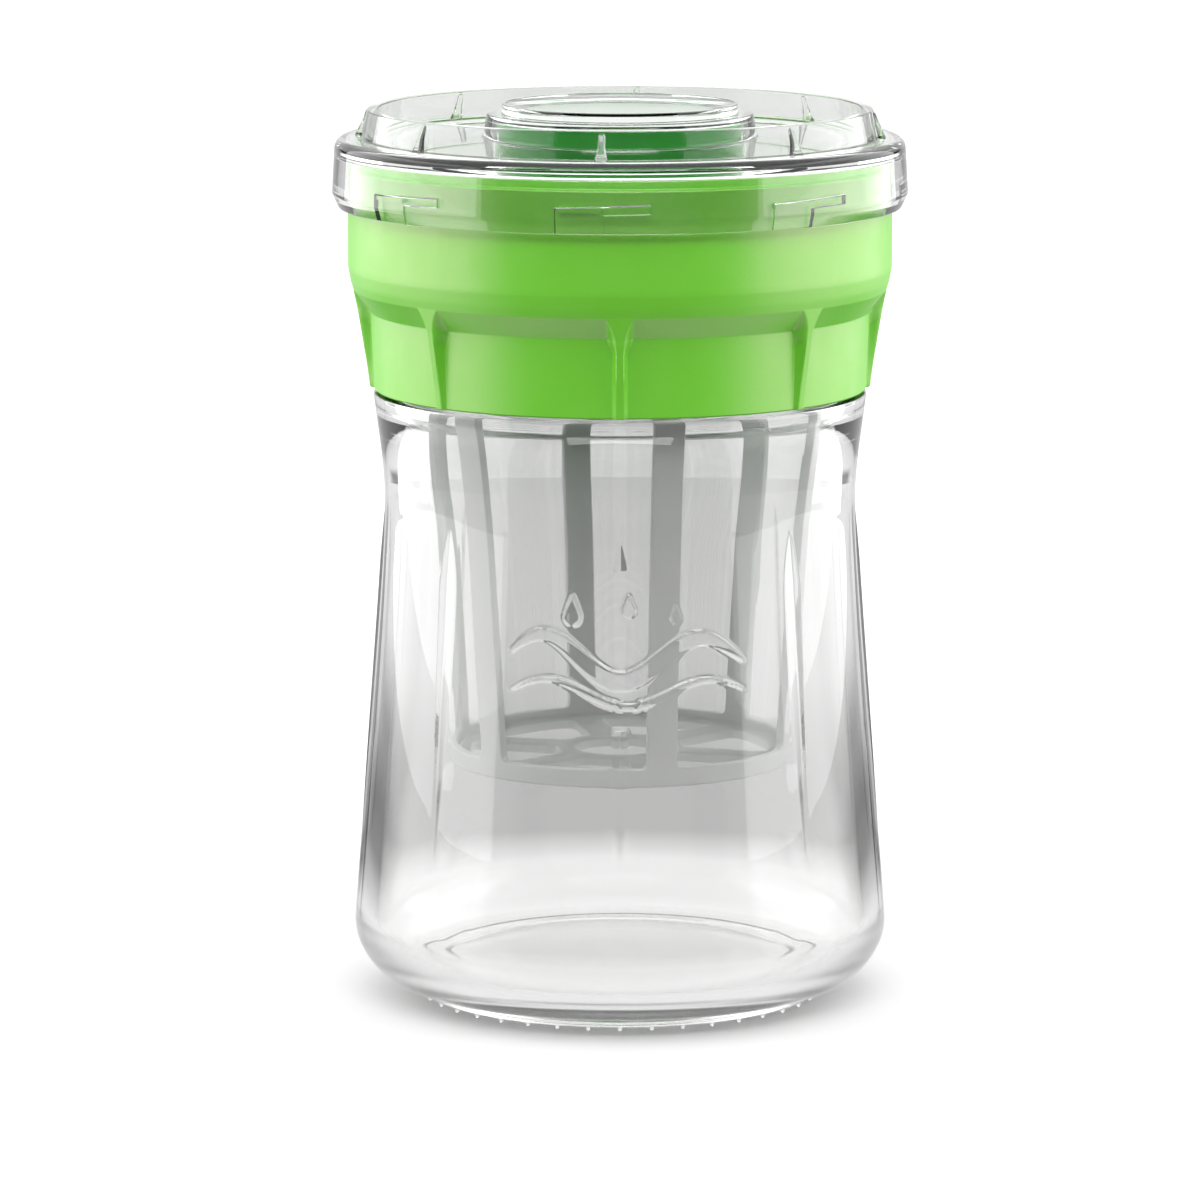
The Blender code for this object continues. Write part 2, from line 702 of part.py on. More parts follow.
def bayonet_grooves():
    """Entry slots open at the skirt's foot, each with an arm that climbs a little towards the locked end."""
    skirt_bottom = deck_bottom - LID_SKIRT_DEPTH
    depth = GROOVE_RADIAL_GAP + band_radius + LUG_REACH
    inner = skirt_bore - LUG_SINK
    middle = (inner + depth) / 2
    lug_height = band_top - LUG_BELOW_BAND_TOP
    slot_top = lug_height + LUG_HEIGHT / 2 + GROOVE_END_GAP
    slot_width = LUG_WIDTH + 2 * GROOVE_SIDE_GAP
    slot_low = skirt_bottom - LUG_HEIGHT
    arm_half_angle = (BAYONET_ARM_ANGLE + slot_width / band_radius) / 4
    arm_width = 2 * arm_half_angle * band_radius + LUG_SINK
    arm_height = LUG_HEIGHT + 2 * GROOVE_END_GAP + GROOVE_RISE
    climb = atan2(GROOVE_RISE, BAYONET_ARM_ANGLE * band_radius)
    cuts = []
    for i, angle in enumerate(spaced(BAYONET_COUNT, BAYONET_SLOT_ANGLE)):
        cuts.append(
            block(
                f"bayonet_slot_{i}",
                (depth - inner, slot_width, slot_top - slot_low),
                turn_from_front(angle) @ Matrix.Translation((middle, 0.0, (slot_top + slot_low) / 2)),
            )
        )
        far_end = angle + BAYONET_ARM_ANGLE + slot_width / (2 * band_radius)
        cuts.append(
            block(
                f"bayonet_arm_{i}",
                (depth - inner, arm_width, arm_height),
                turn_from_front(far_end - arm_half_angle)
                @ Matrix.Translation((middle, 0.0, lug_height + GROOVE_RISE / 2))
                @ Matrix.Rotation(climb, 4, "X"),
            )
        )
    return cuts


def make_lid_seal():
    """Silicone ring round the lid's plug."""
    inner = plug_radius() + SEAT_GAP
    outer = inner + SEAL_WIDTH - SEAT_GAP
    low = seal_top() - SEAL_HEIGHT
    waist = SEAL_WIDTH / 4
    ring = [
        (outer, seal_top()),
        (outer - waist, (seal_top() + low) / 2),
        (outer, low),
        (inner, low),
        (inner, seal_top()),
    ]
    return finish(turned("lid_seal", ring, closed=True), (0.86, 0.87, 0.85), 0.55)


def housing_bore():
    """Bore of the housing's tube."""
    return BOSS_RADIUS - BOSS_WALL - SEAT_GAP - HOUSING_TUBE_INSET - HOUSING_WALL


def hub_radius():
    """Outer radius of the press plate's hub."""
    return housing_bore() - SEAT_GAP - CATCH_OVERLAP


def make_press_housing():
    """Green cap in the boss's hollow, with a tube that guides the press and a catch at its foot."""
    cap_radius = BOSS_RADIUS - BOSS_WALL - SEAT_GAP
    bore = housing_bore()
    tube_radius = bore + HOUSING_WALL
    ceiling = housing_top - HOUSING_ROOF
    catch_top = housing_bottom + CATCH_HEIGHT
    profile = [
        (0.0, housing_top),
        (cap_radius, housing_top),
        (cap_radius, ceiling),
        (tube_radius, ceiling),
        (tube_radius, housing_bottom),
        (hub_radius() + SEAT_GAP, housing_bottom),
        (hub_radius() + SEAT_GAP, catch_top),
        (bore, catch_top),
        (bore, ceiling),
        (0.0, ceiling),
    ]
    return finish(turned("press_housing", profile, closed=False), (0.14, 0.55, 0.02), 0.38)


def make_press_plate():
    """Perforated plate with an upright rim and a hollow hub, whose catch hangs on the housing's."""
    hub = hub_radius()
    hub_bore = hub - HUB_WALL
    catch_bottom = housing_bottom + CATCH_HEIGHT + SEAT_GAP
    hub_top = catch_bottom + CATCH_HEIGHT
    plate_radius = STRAINER_RADIUS - STRAINER_WALL - PLATE_CLEARANCE
    plate_bottom = plate_top - PLATE_THICKNESS
    rim_top = plate_top + PLATE_RIM_HEIGHT
    plate = turned(
        "press_plate",
        [
            (0.0, plate_top),
            (hub_bore, plate_top),
            (hub_bore, hub_top),
            (hub + CATCH_OVERLAP, hub_top),
            (hub + CATCH_OVERLAP, catch_bottom),
            (hub, catch_bottom),
            (hub, plate_top),
            (plate_radius - PLATE_RIM_WALL, plate_top),
            (plate_radius - PLATE_RIM_WALL, rim_top),
            (plate_radius, rim_top),
            (plate_radius, plate_bottom),
            (0.0, plate_bottom),
        ],
        closed=False,
    )
    ring = (hub + plate_radius - PLATE_RIM_WALL) / 2
    holes = [
        rod(
            f"plate_hole_{i}",
            PLATE_HOLE_RADIUS,
            plate_bottom - PLATE_THICKNESS,
            plate_top + PLATE_THICKNESS / 2,
            front_direction(angle) * ring,
            8,
        )
        for i, angle in enumerate(spaced(PLATE_HOLE_COUNT, pi / TURN_STEPS))
    ]
    combine(plate, holes, "DIFFERENCE")
    return finish(plate, (0.14, 0.55, 0.02), 0.38)


def spring_points():
    """Centre line of the spring: a helix, with a short upright leg at each end that stands on its seat."""
    radius = hub_radius() - HUB_WALL - SPRING_SIDE_GAP - SPRING_WIRE / 2
    low = plate_top + SEAT_GAP
    high = housing_top - HOUSING_ROOF - SEAT_GAP
    leg = SPRING_WIRE
    bend = SPRING_WIRE / 2
    first = low + leg + bend
    last = high - leg - bend
    coil = helix(radius, (last - first) / SPRING_TURNS, SPRING_TURNS, first, SPRING_TURN_POINTS)
    foot = coil[0].copy()
    head = coil[-1].copy()
    along = front_direction(-2 * pi / SPRING_TURN_POINTS) * radius
    foot_turn = Vector((along.x, along.y, low + leg))
    foot_end = Vector((along.x, along.y, low))
    beyond = front_direction(2 * pi / SPRING_TURN_POINTS) * radius
    head_turn = Vector((beyond.x, beyond.y, high - leg))
    head_end = Vector((beyond.x, beyond.y, high))
    return [foot_end, foot_turn, foot] + coil[1:-1] + [head, head_turn, head_end]


def least_gap(points, wire):
    """Smallest gap of the wire to itself, between stretches more than half a turn apart."""
    apart = SPRING_TURN_POINTS // 2 + 1
    nearest = min(
        (points[i] - points[j]).length
        for i in range(len(points))
        for j in range(i + apart, len(points))
    )
    return nearest - wire


def make_press_spring():
    """Steel compression spring between the plate and the housing's roof."""
    points = spring_points()
    spring = bead("press_spring", points, SPRING_WIRE / 2)
    cutters.objects.unlink(spring)
    parts.objects.link(spring)
    spring.hide_render = False
    spring.display_type = "TEXTURED"
    print(f"press_spring least gap to itself {1000 * least_gap(points, SPRING_WIRE):.2f} mm")
    return finish(spring, (0.62, 0.63, 0.64), 0.25, metallic=1.0)


def carry(name, carrier, pieces):
    """An empty on the jar's axis that moves its pieces together, carried by another."""
    axis = bpy.data.objects.new(name, None)
    parts.objects.link(axis)
    axis.empty_display_size = AXIS_MARK_SIZE
    axis.parent = carrier
    for piece in pieces:
        piece.parent = axis
    return axis


jar = make_jar()
screw_lift = carry("screw_lift_axis", jar, [make_collar_gasket()])
screw_turn = carry("screw_turn_axis", screw_lift, [make_collar()])
strainer_lift = carry(
    "strainer_lift_axis",
    screw_turn,
    [make_strainer_frame(), make_strainer_mesh_wall(), make_strainer_mesh_floor()],
)
lid_lift = carry("lid_lift_axis", strainer_lift, [make_press_housing(), make_press_spring()])
carry("lid_turn_axis", lid_lift, [make_lid(), make_lid_seal()])
carry("press_axis", lid_lift, [make_press_plate()])
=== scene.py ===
from functools import partial
from math import acos, atan2, cos, pi, radians, sin, tan, tau

import bmesh
import bpy
import numpy as np
from bpy.props import FloatProperty, FloatVectorProperty, IntProperty, PointerProperty
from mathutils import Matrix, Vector


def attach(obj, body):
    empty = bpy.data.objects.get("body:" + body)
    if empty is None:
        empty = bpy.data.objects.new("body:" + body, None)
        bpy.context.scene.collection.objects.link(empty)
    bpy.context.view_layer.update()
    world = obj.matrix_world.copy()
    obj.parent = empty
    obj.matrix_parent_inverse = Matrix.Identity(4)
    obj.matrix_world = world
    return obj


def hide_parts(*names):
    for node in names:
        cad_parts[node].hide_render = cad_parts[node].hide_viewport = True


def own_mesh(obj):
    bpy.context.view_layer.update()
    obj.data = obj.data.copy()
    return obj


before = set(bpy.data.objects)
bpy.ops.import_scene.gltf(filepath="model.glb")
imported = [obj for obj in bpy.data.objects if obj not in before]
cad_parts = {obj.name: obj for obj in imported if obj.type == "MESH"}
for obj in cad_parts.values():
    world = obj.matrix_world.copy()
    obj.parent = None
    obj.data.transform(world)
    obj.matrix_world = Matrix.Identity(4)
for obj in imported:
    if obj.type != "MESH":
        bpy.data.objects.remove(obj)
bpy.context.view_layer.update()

bl_info = {
    "name": "Kefir Cheese Maker",
    "version": (1, 0, 0),
    "blender": (4, 5, 0),
    "location": "View3D > Sidebar > Kefir",
    "description": "Glass jar, screw collar, hanging strainer and press lid, built round their packed frame",
    "category": "Add Mesh",
}

# Outlines are tables of (radius, height, rounding) in millimetres, and angles are in degrees from the front (-Y)
# towards +X. Meshes are made in metres.
MM = 0.001
SMOOTH_ANGLE = radians(32)
FILLET_STEP = radians(15)
FILLET_SHARE = 0.46  # the most of an edge that one fillet takes up
TURN_STEPS = 240
CLEAR_SHADOW_SHARE = 0.2


# ---------------------------------------------------------------------------------------------------- outlines


def bezier(start, pull_start, pull_end, end, count):
    """Points of a smooth curve from start up to, but without, its end."""
    t = np.arange(count)[:, None] / count
    ends = [np.array(p, float) for p in (start, pull_start, pull_end, end)]
    return (1 - t) ** 3 * ends[0] + 3 * t * (1 - t) ** 2 * ends[1] + 3 * t**2 * (1 - t) * ends[2] + t**3 * ends[3]


def arc(centre, radius, start, end, count):
    """Points along a round, with angles in degrees from level."""
    turn = np.radians(np.linspace(start, end, count + 1))
    return np.stack([centre[0] + radius * np.cos(turn), centre[1] + radius * np.sin(turn)], axis=1)


def line(start, end, count):
    """Evenly spaced points from start up to, but without, its end."""
    return np.linspace(start, end, count, endpoint=False)


def rounded(corners, closed):
    """An outline whose corners are eased by their own rounding."""
    points = []
    count = len(corners)
    for i, (r, z, ease) in enumerate(corners):
        here = np.array([r, z])
        if ease == 0 or (not closed and i in (0, count - 1)):
            points.append(here)
            continue
        before = np.array(corners[i - 1][:2]) - here
        after = np.array(corners[(i + 1) % count][:2]) - here
        reach_before, reach_after = np.hypot(*before), np.hypot(*after)
        before, after = before / reach_before, after / reach_after
        opening = acos(float(np.clip(before @ after, -1, 1)))
        turn = pi - opening
        reach = min(ease * tan(turn / 2), FILLET_SHARE * reach_before, FILLET_SHARE * reach_after)
        ease = reach / tan(turn / 2)
        middle = before + after
        centre = here + middle / np.hypot(*middle) * ease / sin(opening / 2)
        first = here + before * reach - centre
        side = 1 if before[0] * after[1] - before[1] * after[0] < 0 else -1
        steps = max(2, round(turn / FILLET_STEP))
        for k in range(steps + 1):
            a = side * turn * k / steps
            points.append(centre + (first[0] * cos(a) - first[1] * sin(a), first[0] * sin(a) + first[1] * cos(a)))
    return np.array(points)


def smooth_step(low, high, value):
    """0 up to low, 1 from high on, and an even curve between."""
    t = np.clip((value - low) / (high - low), 0, 1)
    return t * t * (3 - 2 * t)


def angles_with(zones, fine, coarse):
    """Angles round a full turn: fine steps inside the (centre, half width) zones, coarse steps between."""
    angles = {0.0}
    for centre, half in zones:
        count = max(1, round(half / fine))
        for k in range(-count, count + 1):
            angles.add(round((centre + half * k / count) % 360, 5))
    for angle in np.arange(0, 360, coarse):
        apart = [abs((angle - centre + 180) % 360 - 180) - half for centre, half in zones]
        if min(apart) > coarse * 0.35:
            angles.add(round(float(angle), 5))
    return np.radians(sorted(angles))


def even_angles(step):
    """Angles round a full turn at an equal step in degrees."""
    return np.radians(np.arange(0, 360, step))


# ------------------------------------------------------------------------------------------------------ meshes


class Shell:
    """Points and faces of one closed piece, laid ring by ring round the jar's axis, in millimetres."""

    def __init__(self):
        self.points = []
        self.faces = []
        self.total = 0

    def add(self, places):
        """Numbers of the points that it adds."""
        first = self.total
        self.points.append(np.asarray(places, float).reshape(-1, 3))
        self.total += len(self.points[-1])
        return np.arange(first, self.total)

    def rows(self, outline, angles, swell=0.0):
        """Rings of an outline, whose radius may swell by place, joined to each other."""
        outline = np.asarray(outline, float)
        radius = outline[:, :1] + np.zeros((len(outline), len(angles))) + swell
        height = outline[:, 1:2] + np.zeros_like(radius)
        return self.loft(np.stack([radius * np.sin(angles), -radius * np.cos(angles), height], axis=2))

    def loft(self, sections):
        """Rings through sections of equal count, joined to each other."""
        rings = [self.add(section) for section in sections]
        for lower, upper in zip(rings[:-1], rings[1:]):
            self.join(lower, upper)
        return rings

    def join(self, lower, upper):
        """Faces between two rings of equal count."""
        self.faces += np.stack([lower, np.roll(lower, -1), np.roll(upper, -1), upper], axis=1).tolist()

    def stitch(self, ring_a, angles_a, ring_b, angles_b):
        """Joins two rings of different counts."""
        a, b = 0, 0
        ends_a, ends_b = np.append(angles_a, tau), np.append(angles_b, tau)
        while a < len(ring_a) or b < len(ring_b):
            here_a, here_b = int(ring_a[a % len(ring_a)]), int(ring_b[b % len(ring_b)])
            if b >= len(ring_b) or (a < len(ring_a) and ends_a[a + 1] <= ends_b[b + 1]):
                a += 1
                self.faces.append([here_a, int(ring_a[a % len(ring_a)]), here_b])
            else:
                b += 1
                self.faces.append([here_a, int(ring_b[b % len(ring_b)]), here_b])

    def close(self, ring, tip):
        """Closes a ring to a point."""
        end = int(self.add([tip])[0])
        self.faces += [[int(i), int(j), end] for i, j in zip(ring, np.roll(ring, -1))]

    def pole(self, ring, height):
        """Closes a ring to a point on the axis."""
        self.close(ring, (0.0, 0.0, height))

    def plain_mesh(self, name):
        """The mesh in metres, with its faces as they were laid."""
        mesh = bpy.data.meshes.new(name)
        mesh.from_pydata((np.concatenate(self.points) * MM).tolist(), [], self.faces)
        return mesh

    def mesh(self, name):
        """The mesh in metres, with every face outwards."""
        return outwards(self.plain_mesh(name))


def outwards(mesh):
    """Turns the faces of a closed mesh outwards and shades its round parts smooth."""
    shape = bmesh.new()
    shape.from_mesh(mesh)
    bmesh.ops.recalc_face_normals(shape, faces=shape.faces)
    shape.to_mesh(mesh)
    shape.free()
    mesh.shade_smooth()
    mesh.set_sharp_from_angle(angle=SMOOTH_ANGLE)
    return mesh


def place(mesh):
    """Puts a mesh in the scene as an object of its name at the origin."""
    piece = bpy.data.objects.new(mesh.name, mesh)
    bpy.context.scene.collection.objects.link(piece)
    return piece


def turned(name, corners, closed, steps=TURN_STEPS):
    """A rounded outline turned about the axis. An open one starts and ends on the axis."""
    outline = rounded(corners, closed)
    angles = np.linspace(0, tau, steps, endpoint=False)
    shell = Shell()
    if closed:
        rings = shell.rows(outline, angles)
        shell.join(rings[-1], rings[0])
    else:
        rings = shell.rows(outline[1:-1], angles)
        shell.pole(rings[0], outline[0][1])
        shell.pole(rings[-1], outline[-1][1])
    return shell.mesh(name)


def stood(profile, angle):
    """A (radius, height) profile stood up at an angle from the front."""
    return [(r * sin(angle), -r * cos(angle), z) for r, z in profile]


def bar(name, sections):
    """A closed bar through sections of equal count, each a list of points in millimetres."""
    shell = Shell()
    rings = shell.loft(sections)
    for ring in (rings[0], rings[-1]):
        shell.faces.append(ring.tolist())
    return shell.mesh(name)


def apply_modifiers(piece):
    """Gives a piece the plain mesh that its modifiers make, and removes them."""
    mesh = bpy.data.meshes.new_from_object(piece.evaluated_get(bpy.context.evaluated_depsgraph_get()))
    piece.modifiers.clear()
    mesh.name = piece.name
    piece.data = mesh


def even_shading(piece):
    """Lets wide faces lead the shading, so that a flat wall stays flat beside its rounded edges."""
    step = piece.modifiers.new("even_shading", "WEIGHTED_NORMAL")
    step.mode = "FACE_AREA_WITH_ANGLE"
    step.keep_sharp = True
    apply_modifiers(piece)


def dress(piece, material, body, slot, *nodes):
    """Gives a finished piece its material and body, and hides the CAD nodes that it stands for; the slot is not used.
    """
    even_shading(piece)
    piece.data.materials.clear()
    piece.data.materials.append(material)
    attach(piece, body)
    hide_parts(*nodes)


# -------------------------------------------------------------------------------------------------- node trees


def feed(tree, node, inputs):
    """Gives a node's inputs a value, or joins them to another node's output."""
    for key, value in inputs.items():
        if isinstance(value, bpy.types.NodeSocket):
            tree.links.new(value, node.inputs[key])
        else:
            node.inputs[key].default_value = value


def add_node(tree, kind, inputs=None, **settings):
    """A node with its settings made and its inputs fed."""
    made = tree.nodes.new(kind)
    for key, value in settings.items():
        setattr(made, key, value)
    feed(tree, made, inputs or {})
    return made


def calc(tree, operation, *values, clamp=False):
    """The output of a Math node."""
    return add_node(tree, "ShaderNodeMath", dict(enumerate(values)), operation=operation, use_clamp=clamp).outputs[0]


def maths(tree):
    """Short forms of the four kinds of arithmetic in a tree."""
    return [partial(calc, tree, operation) for operation in ("ADD", "SUBTRACT", "MULTIPLY", "DIVIDE")]


def eased(tree, value, low, high, start=0.0, end=1.0):
    """A value that runs smoothly from start to end while another goes from low to high."""
    return add_node(
        tree,
        "ShaderNodeMapRange",
        {"Value": value, "From Min": low, "From Max": high, "To Min": start, "To Max": end},
        interpolation_type="SMOOTHSTEP",
    ).outputs[0]


def split(tree, vector):
    """The x, y and z outputs of a vector."""
    return add_node(tree, "ShaderNodeSeparateXYZ", {0: vector}).outputs


def own_place(tree):
    """The piece's own coordinates as an output."""
    return add_node(tree, "ShaderNodeTexCoord").outputs["Object"]


def from_axis(tree, x, y):
    """Distance from the upright axis."""
    return calc(tree, "SQRT", calc(tree, "ADD", calc(tree, "MULTIPLY", x, x), calc(tree, "MULTIPLY", y, y)))


def new_tree(name, inputs):
    """A geometry tree for a piece and its material, with further named inputs as (name, kind, default)."""
    tree = bpy.data.node_groups.new(name, "GeometryNodeTree")
    for label, kind, default in (("Geometry", "Geometry", None), *inputs, ("Material", "Material", None)):
        socket = tree.interface.new_socket(label, in_out="INPUT", socket_type=f"NodeSocket{kind}")
        if default is not None:
            socket.default_value = default
    tree.interface.new_socket("Geometry", in_out="OUTPUT", socket_type="NodeSocketGeometry")
    return tree, tree.nodes.new("NodeGroupInput").outputs


def end_tree(tree, geometry, material):
    """Ends a geometry tree in Realize Instances and Set Material."""
    real = add_node(tree, "GeometryNodeRealizeInstances", {0: geometry}).outputs[0]
    painted = add_node(tree, "GeometryNodeSetMaterial", {"Geometry": real, "Material": material}).outputs[0]
    tree.links.new(painted, tree.nodes.new("NodeGroupOutput").inputs[0])
    return tree


def grow(piece, tree, values):
    """Runs a geometry tree on a piece and keeps the result as its plain mesh."""
    step = piece.modifiers.new(tree.name, "NODES")
    step.node_group = tree
    for item in tree.interface.items_tree:
        if item.in_out == "INPUT" and item.name in values:
            step[item.identifier] = values[item.name]
    bpy.context.view_layer.update()
    apply_modifiers(piece)
    if not piece.data.polygons:
        raise RuntimeError(f"{tree.name} left no faces on {piece.name}")
    outwards(piece.data)
    for helper in [v for v in values.values() if isinstance(v, bpy.types.Object)]:
        bpy.data.objects.remove(helper)
    return piece


def ring_of_patterns_tree(name, operation):
    """Repeats a pattern round the axis and adds it to the piece or cuts it away."""
    tree, given = new_tree(
        name,
        [
            ("Pattern", "Object", None),
            ("Count", "Int", 8),
            ("First Angle", "Float", 0.0),
        ],
    )
    points = add_node(tree, "GeometryNodeMeshLine", {"Count": given["Count"], "Offset": (0, 0, 0)})
    index = add_node(tree, "GeometryNodeInputIndex").outputs[0]
    turn = calc(tree, "MULTIPLY_ADD", index, calc(tree, "DIVIDE", tau, given["Count"]), given["First Angle"])
    rotation = add_node(tree, "ShaderNodeCombineXYZ", {"Z": turn}).outputs[0]
    pattern = add_node(tree, "GeometryNodeObjectInfo", {"Object": given["Pattern"]}).outputs["Geometry"]
    copies = add_node(
        tree,
        "GeometryNodeInstanceOnPoints",
        {"Points": points.outputs[0], "Instance": pattern, "Rotation": rotation},
    ).outputs[0]
    real = add_node(tree, "GeometryNodeRealizeInstances", {0: copies}).outputs[0]
    joined = add_node(tree, "GeometryNodeMeshBoolean", operation=operation, solver="MANIFOLD")
    tree.links.new(given["Geometry"], joined.inputs["Mesh 1" if operation == "DIFFERENCE" else "Mesh 2"])
    tree.links.new(real, joined.inputs["Mesh 2"])
    return end_tree(tree, joined.outputs[0], given["Material"])


def pattern_ring(piece, name, operation, pattern, count, first_angle, material):
    """Adds or cuts a pattern, given as a mesh made at the front, at equal steps round a piece."""
    helper = place(pattern)
    helper.hide_render = True
    values = {"Pattern": helper, "Count": count, "First Angle": radians(first_angle), "Material": material}
    return grow(piece, ring_of_patterns_tree(name, operation), values)


# --------------------------------------------------------------------------------------------------- materials


def new_material(name):
    """A material with its tree and its Principled shader."""
    material = bpy.data.materials.new(name)
    material.use_nodes = True
    return material, material.node_tree, material.node_tree.nodes["Principled BSDF"]


def object_noise(tree, scale, detail=3.0, roughness=0.5, stretch=(1, 1, 1)):
    """Noise over the piece's own coordinates, as the output socket of its factor."""
    mapping = add_node(tree, "ShaderNodeMapping", {"Vector": own_place(tree), "Scale": stretch}).outputs[0]
    return add_node(
        tree,
        "ShaderNodeTexNoise",
        {"Vector": mapping, "Scale": scale, "Detail": detail, "Roughness": roughness},
    ).outputs[0]


def spread(tree, factor, low, high):
    """A value that runs from low to high with a factor."""
    return add_node(
        tree, "ShaderNodeMapRange", {"Value": factor, "From Min": 0.3, "From Max": 0.7, "To Min": low, "To Max": high}
    ).outputs[0]


def bump(tree, shader, height, distance, strength=1.0):
    """Lets a height in metres show in the shading."""
    normal = add_node(tree, "ShaderNodeBump", {"Height": height, "Distance": distance, "Strength": strength}).outputs[0]
    feed(tree, shader, {"Normal": normal})


def two_tones(tree, factor, low, high):
    """Colour between two tones."""
    return add_node(tree, "ShaderNodeMix", {0: factor, 6: (*low, 1), 7: (*high, 1)}, data_type="RGBA").outputs[2]


def shade(colour, share):
    """A colour made darker or lighter."""
    return tuple(min(1.0, part * share) for part in colour)


def let_light_through(tree, shader):
    """Keeps the shadows of clear walls pale."""
    shadow = add_node(tree, "ShaderNodeLightPath").outputs["Is Shadow Ray"]
    feed(tree, shader, {"Alpha": calc(tree, "MULTIPLY_ADD", shadow, -CLEAR_SHADOW_SHARE, 1.0)})


def clear_material(name, colour, ior, tone_scale, polish_scale, ripple_scale, polish):
    """A clear moulded wall with faint waves. It also returns the output that holds the wall's polish."""
    material, tree, shader = new_material(name)
    tone = two_tones(tree, object_noise(tree, tone_scale), shade(colour, 0.985), colour)
    roughness = spread(tree, object_noise(tree, polish_scale), 0.0, polish)
    feed(tree, shader, {"Transmission Weight": 1.0, "IOR": ior, "Base Color": tone, "Roughness": roughness})
    bump(tree, shader, object_noise(tree, ripple_scale, detail=1.0), 0.00002, 0.3)
    let_light_through(tree, shader)
    return material, tree, shader, roughness


def glass_material(colour, frost):
    """Pressed glass with a softly frosted heel."""
    material, tree, shader, roughness = clear_material("pressed_glass", colour, 1.5, 40, 90, 45, 0.01)
    heel = eased(tree, split(tree, own_place(tree))[2], HEEL_FROST_TOP * MM, HEEL_FROST_FULL * MM, 0.0, frost)
    feed(tree, shader, {"Roughness": calc(tree, "ADD", roughness, heel)})
    return material


def clear_plastic_material(colour):
    """Injection-moulded clear plastic: polished, a little softer than glass."""
    return clear_material("clear_moulded_plastic", colour, 1.49, 50, 120, 60, 0.015)[0]


def satin_plastic_material(name, colour, roughness, grain, gloss=0.5, ior=1.5, sheen=(1, 1, 1)):
    """Satin moulded plastic: a fine spark-eroded grain and a slight drift of tone and gloss."""
    material, tree, shader = new_material(name)
    tone = two_tones(tree, object_noise(tree, 35, detail=4.0), shade(colour, 0.94), shade(colour, 1.05))
    polish = spread(tree, object_noise(tree, 160), roughness - 0.03, roughness + 0.05)
    feed(tree, shader, {"Base Color": tone, "Roughness": polish})
    feed(tree, shader, {"Specular IOR Level": gloss, "IOR": ior, "Specular Tint": (*sheen, 1)})
    bump(tree, shader, object_noise(tree, 3200, detail=2.0), grain)
    return material


def silicone_material(colour):
    """Matt food silicone with a soft sheen and a faint powdery grain."""
    material, tree, shader = new_material("food_silicone")
    tone = two_tones(tree, object_noise(tree, 60), shade(colour, 0.96), colour)
    polish = spread(tree, object_noise(tree, 300), 0.5, 0.62)
    feed(tree, shader, {"Base Color": tone, "Roughness": polish, "Sheen Weight": 0.15})
    feed(tree, shader, {"Subsurface Weight": 0.15, "Subsurface Radius": (0.6, 0.6, 0.55), "Subsurface Scale": 0.002})
    bump(tree, shader, object_noise(tree, 2500), 0.00001)
    return material


def spring_material(colour):
    """Drawn stainless wire: fine streaks along the coil."""
    material, tree, shader = new_material("drawn_spring_wire")
    streaks = object_noise(tree, 700, detail=4.0, stretch=(1, 1, 9))
    tone = two_tones(tree, streaks, shade(colour, 0.86), colour)
    feed(tree, shader, {"Metallic": 1.0, "Base Color": tone, "Roughness": spread(tree, streaks, 0.18, 0.34)})
    bump(tree, shader, streaks, 0.00001, 0.6)
    return material


def weave_material(name, colour, cover):
    """Fine food mesh: threads of the piece's own UV map, one unit to a thread, with open squares between."""
    material, tree, shader = new_material(name)
    along = split(tree, add_node(tree, "ShaderNodeUVMap", uv_map="weave").outputs[0])
    threads = []
    for axis in ("X", "Y"):
        share = calc(tree, "FRACT", along[axis])
        centred = calc(tree, "ABSOLUTE", calc(tree, "SUBTRACT", share, 0.5))
        threads.append(eased(tree, centred, cover, 0.0))
    body = calc(tree, "MAXIMUM", *threads)
    knots = calc(tree, "MINIMUM", *threads)
    tone = two_tones(tree, knots, shade(colour, 0.94), shade(colour, 1.04))
    polish = spread(tree, object_noise(tree, 200), 0.45, 0.6)
    feed(tree, shader, {"Alpha": body, "Base Color": tone, "Roughness": polish})
    bump(tree, shader, calc(tree, "ADD", body, knots), 0.00006, 0.5)
    return material


# --------------------------------------------------------------------------------------------------------- jar


JAR_RECESS, JAR_FLOOR, WAIST_HEIGHT, SHOULDER_TOP, JAR_TOP = 1.8, 7.0, 95.0, 117.2, 141.0
JAR_WALL, HEEL_WALL, SHOULDER_EASE, LIP_ROUND = 2.8, 4.2, 0.35, 1.0
JAR_FLOOR_RADII = (5, 12, 20, 27, 33)
JAR_FLUTE_COUNT, FLUTE_ZONE = 8, 3.2  # FLUTE_ZONE: half width of the close columns at a flute, in degrees
FLUTE_GAP_LOW, FLUTE_GAP_HIGH = 59.3, 89.2
EMBLEM_LEFT, EMBLEM_RIGHT, EMBLEM_LOW, EMBLEM_HIGH = -24.2, 27.5, 61.7, 85.6
EMBLEM_WRAP = 0.955  # radius on which the emblem is laid out, as a share of the belly's
EMBLEM_DROPS = ((-9.5, 80.6, 1.9), (1.8, 81.8, 1.5), (11.2, 80.2, 1.2))  # across, height, size
NECK_RADIUS, NECK_BORE = 43.6, 41.0
THREAD_PITCH, THREAD_BEAD, THREAD_TAPER = 6.0, 1.1, 12.0
THREAD_START = JAR_TOP - 2 * THREAD_PITCH
FOOT_LIFT, NUB_RING, NUB_RADIUS, NUB_STRETCH = 0.6, 38.5, 0.42, 1.3
HEEL_FROST_TOP, HEEL_FROST_FULL = 16.5, 13.5


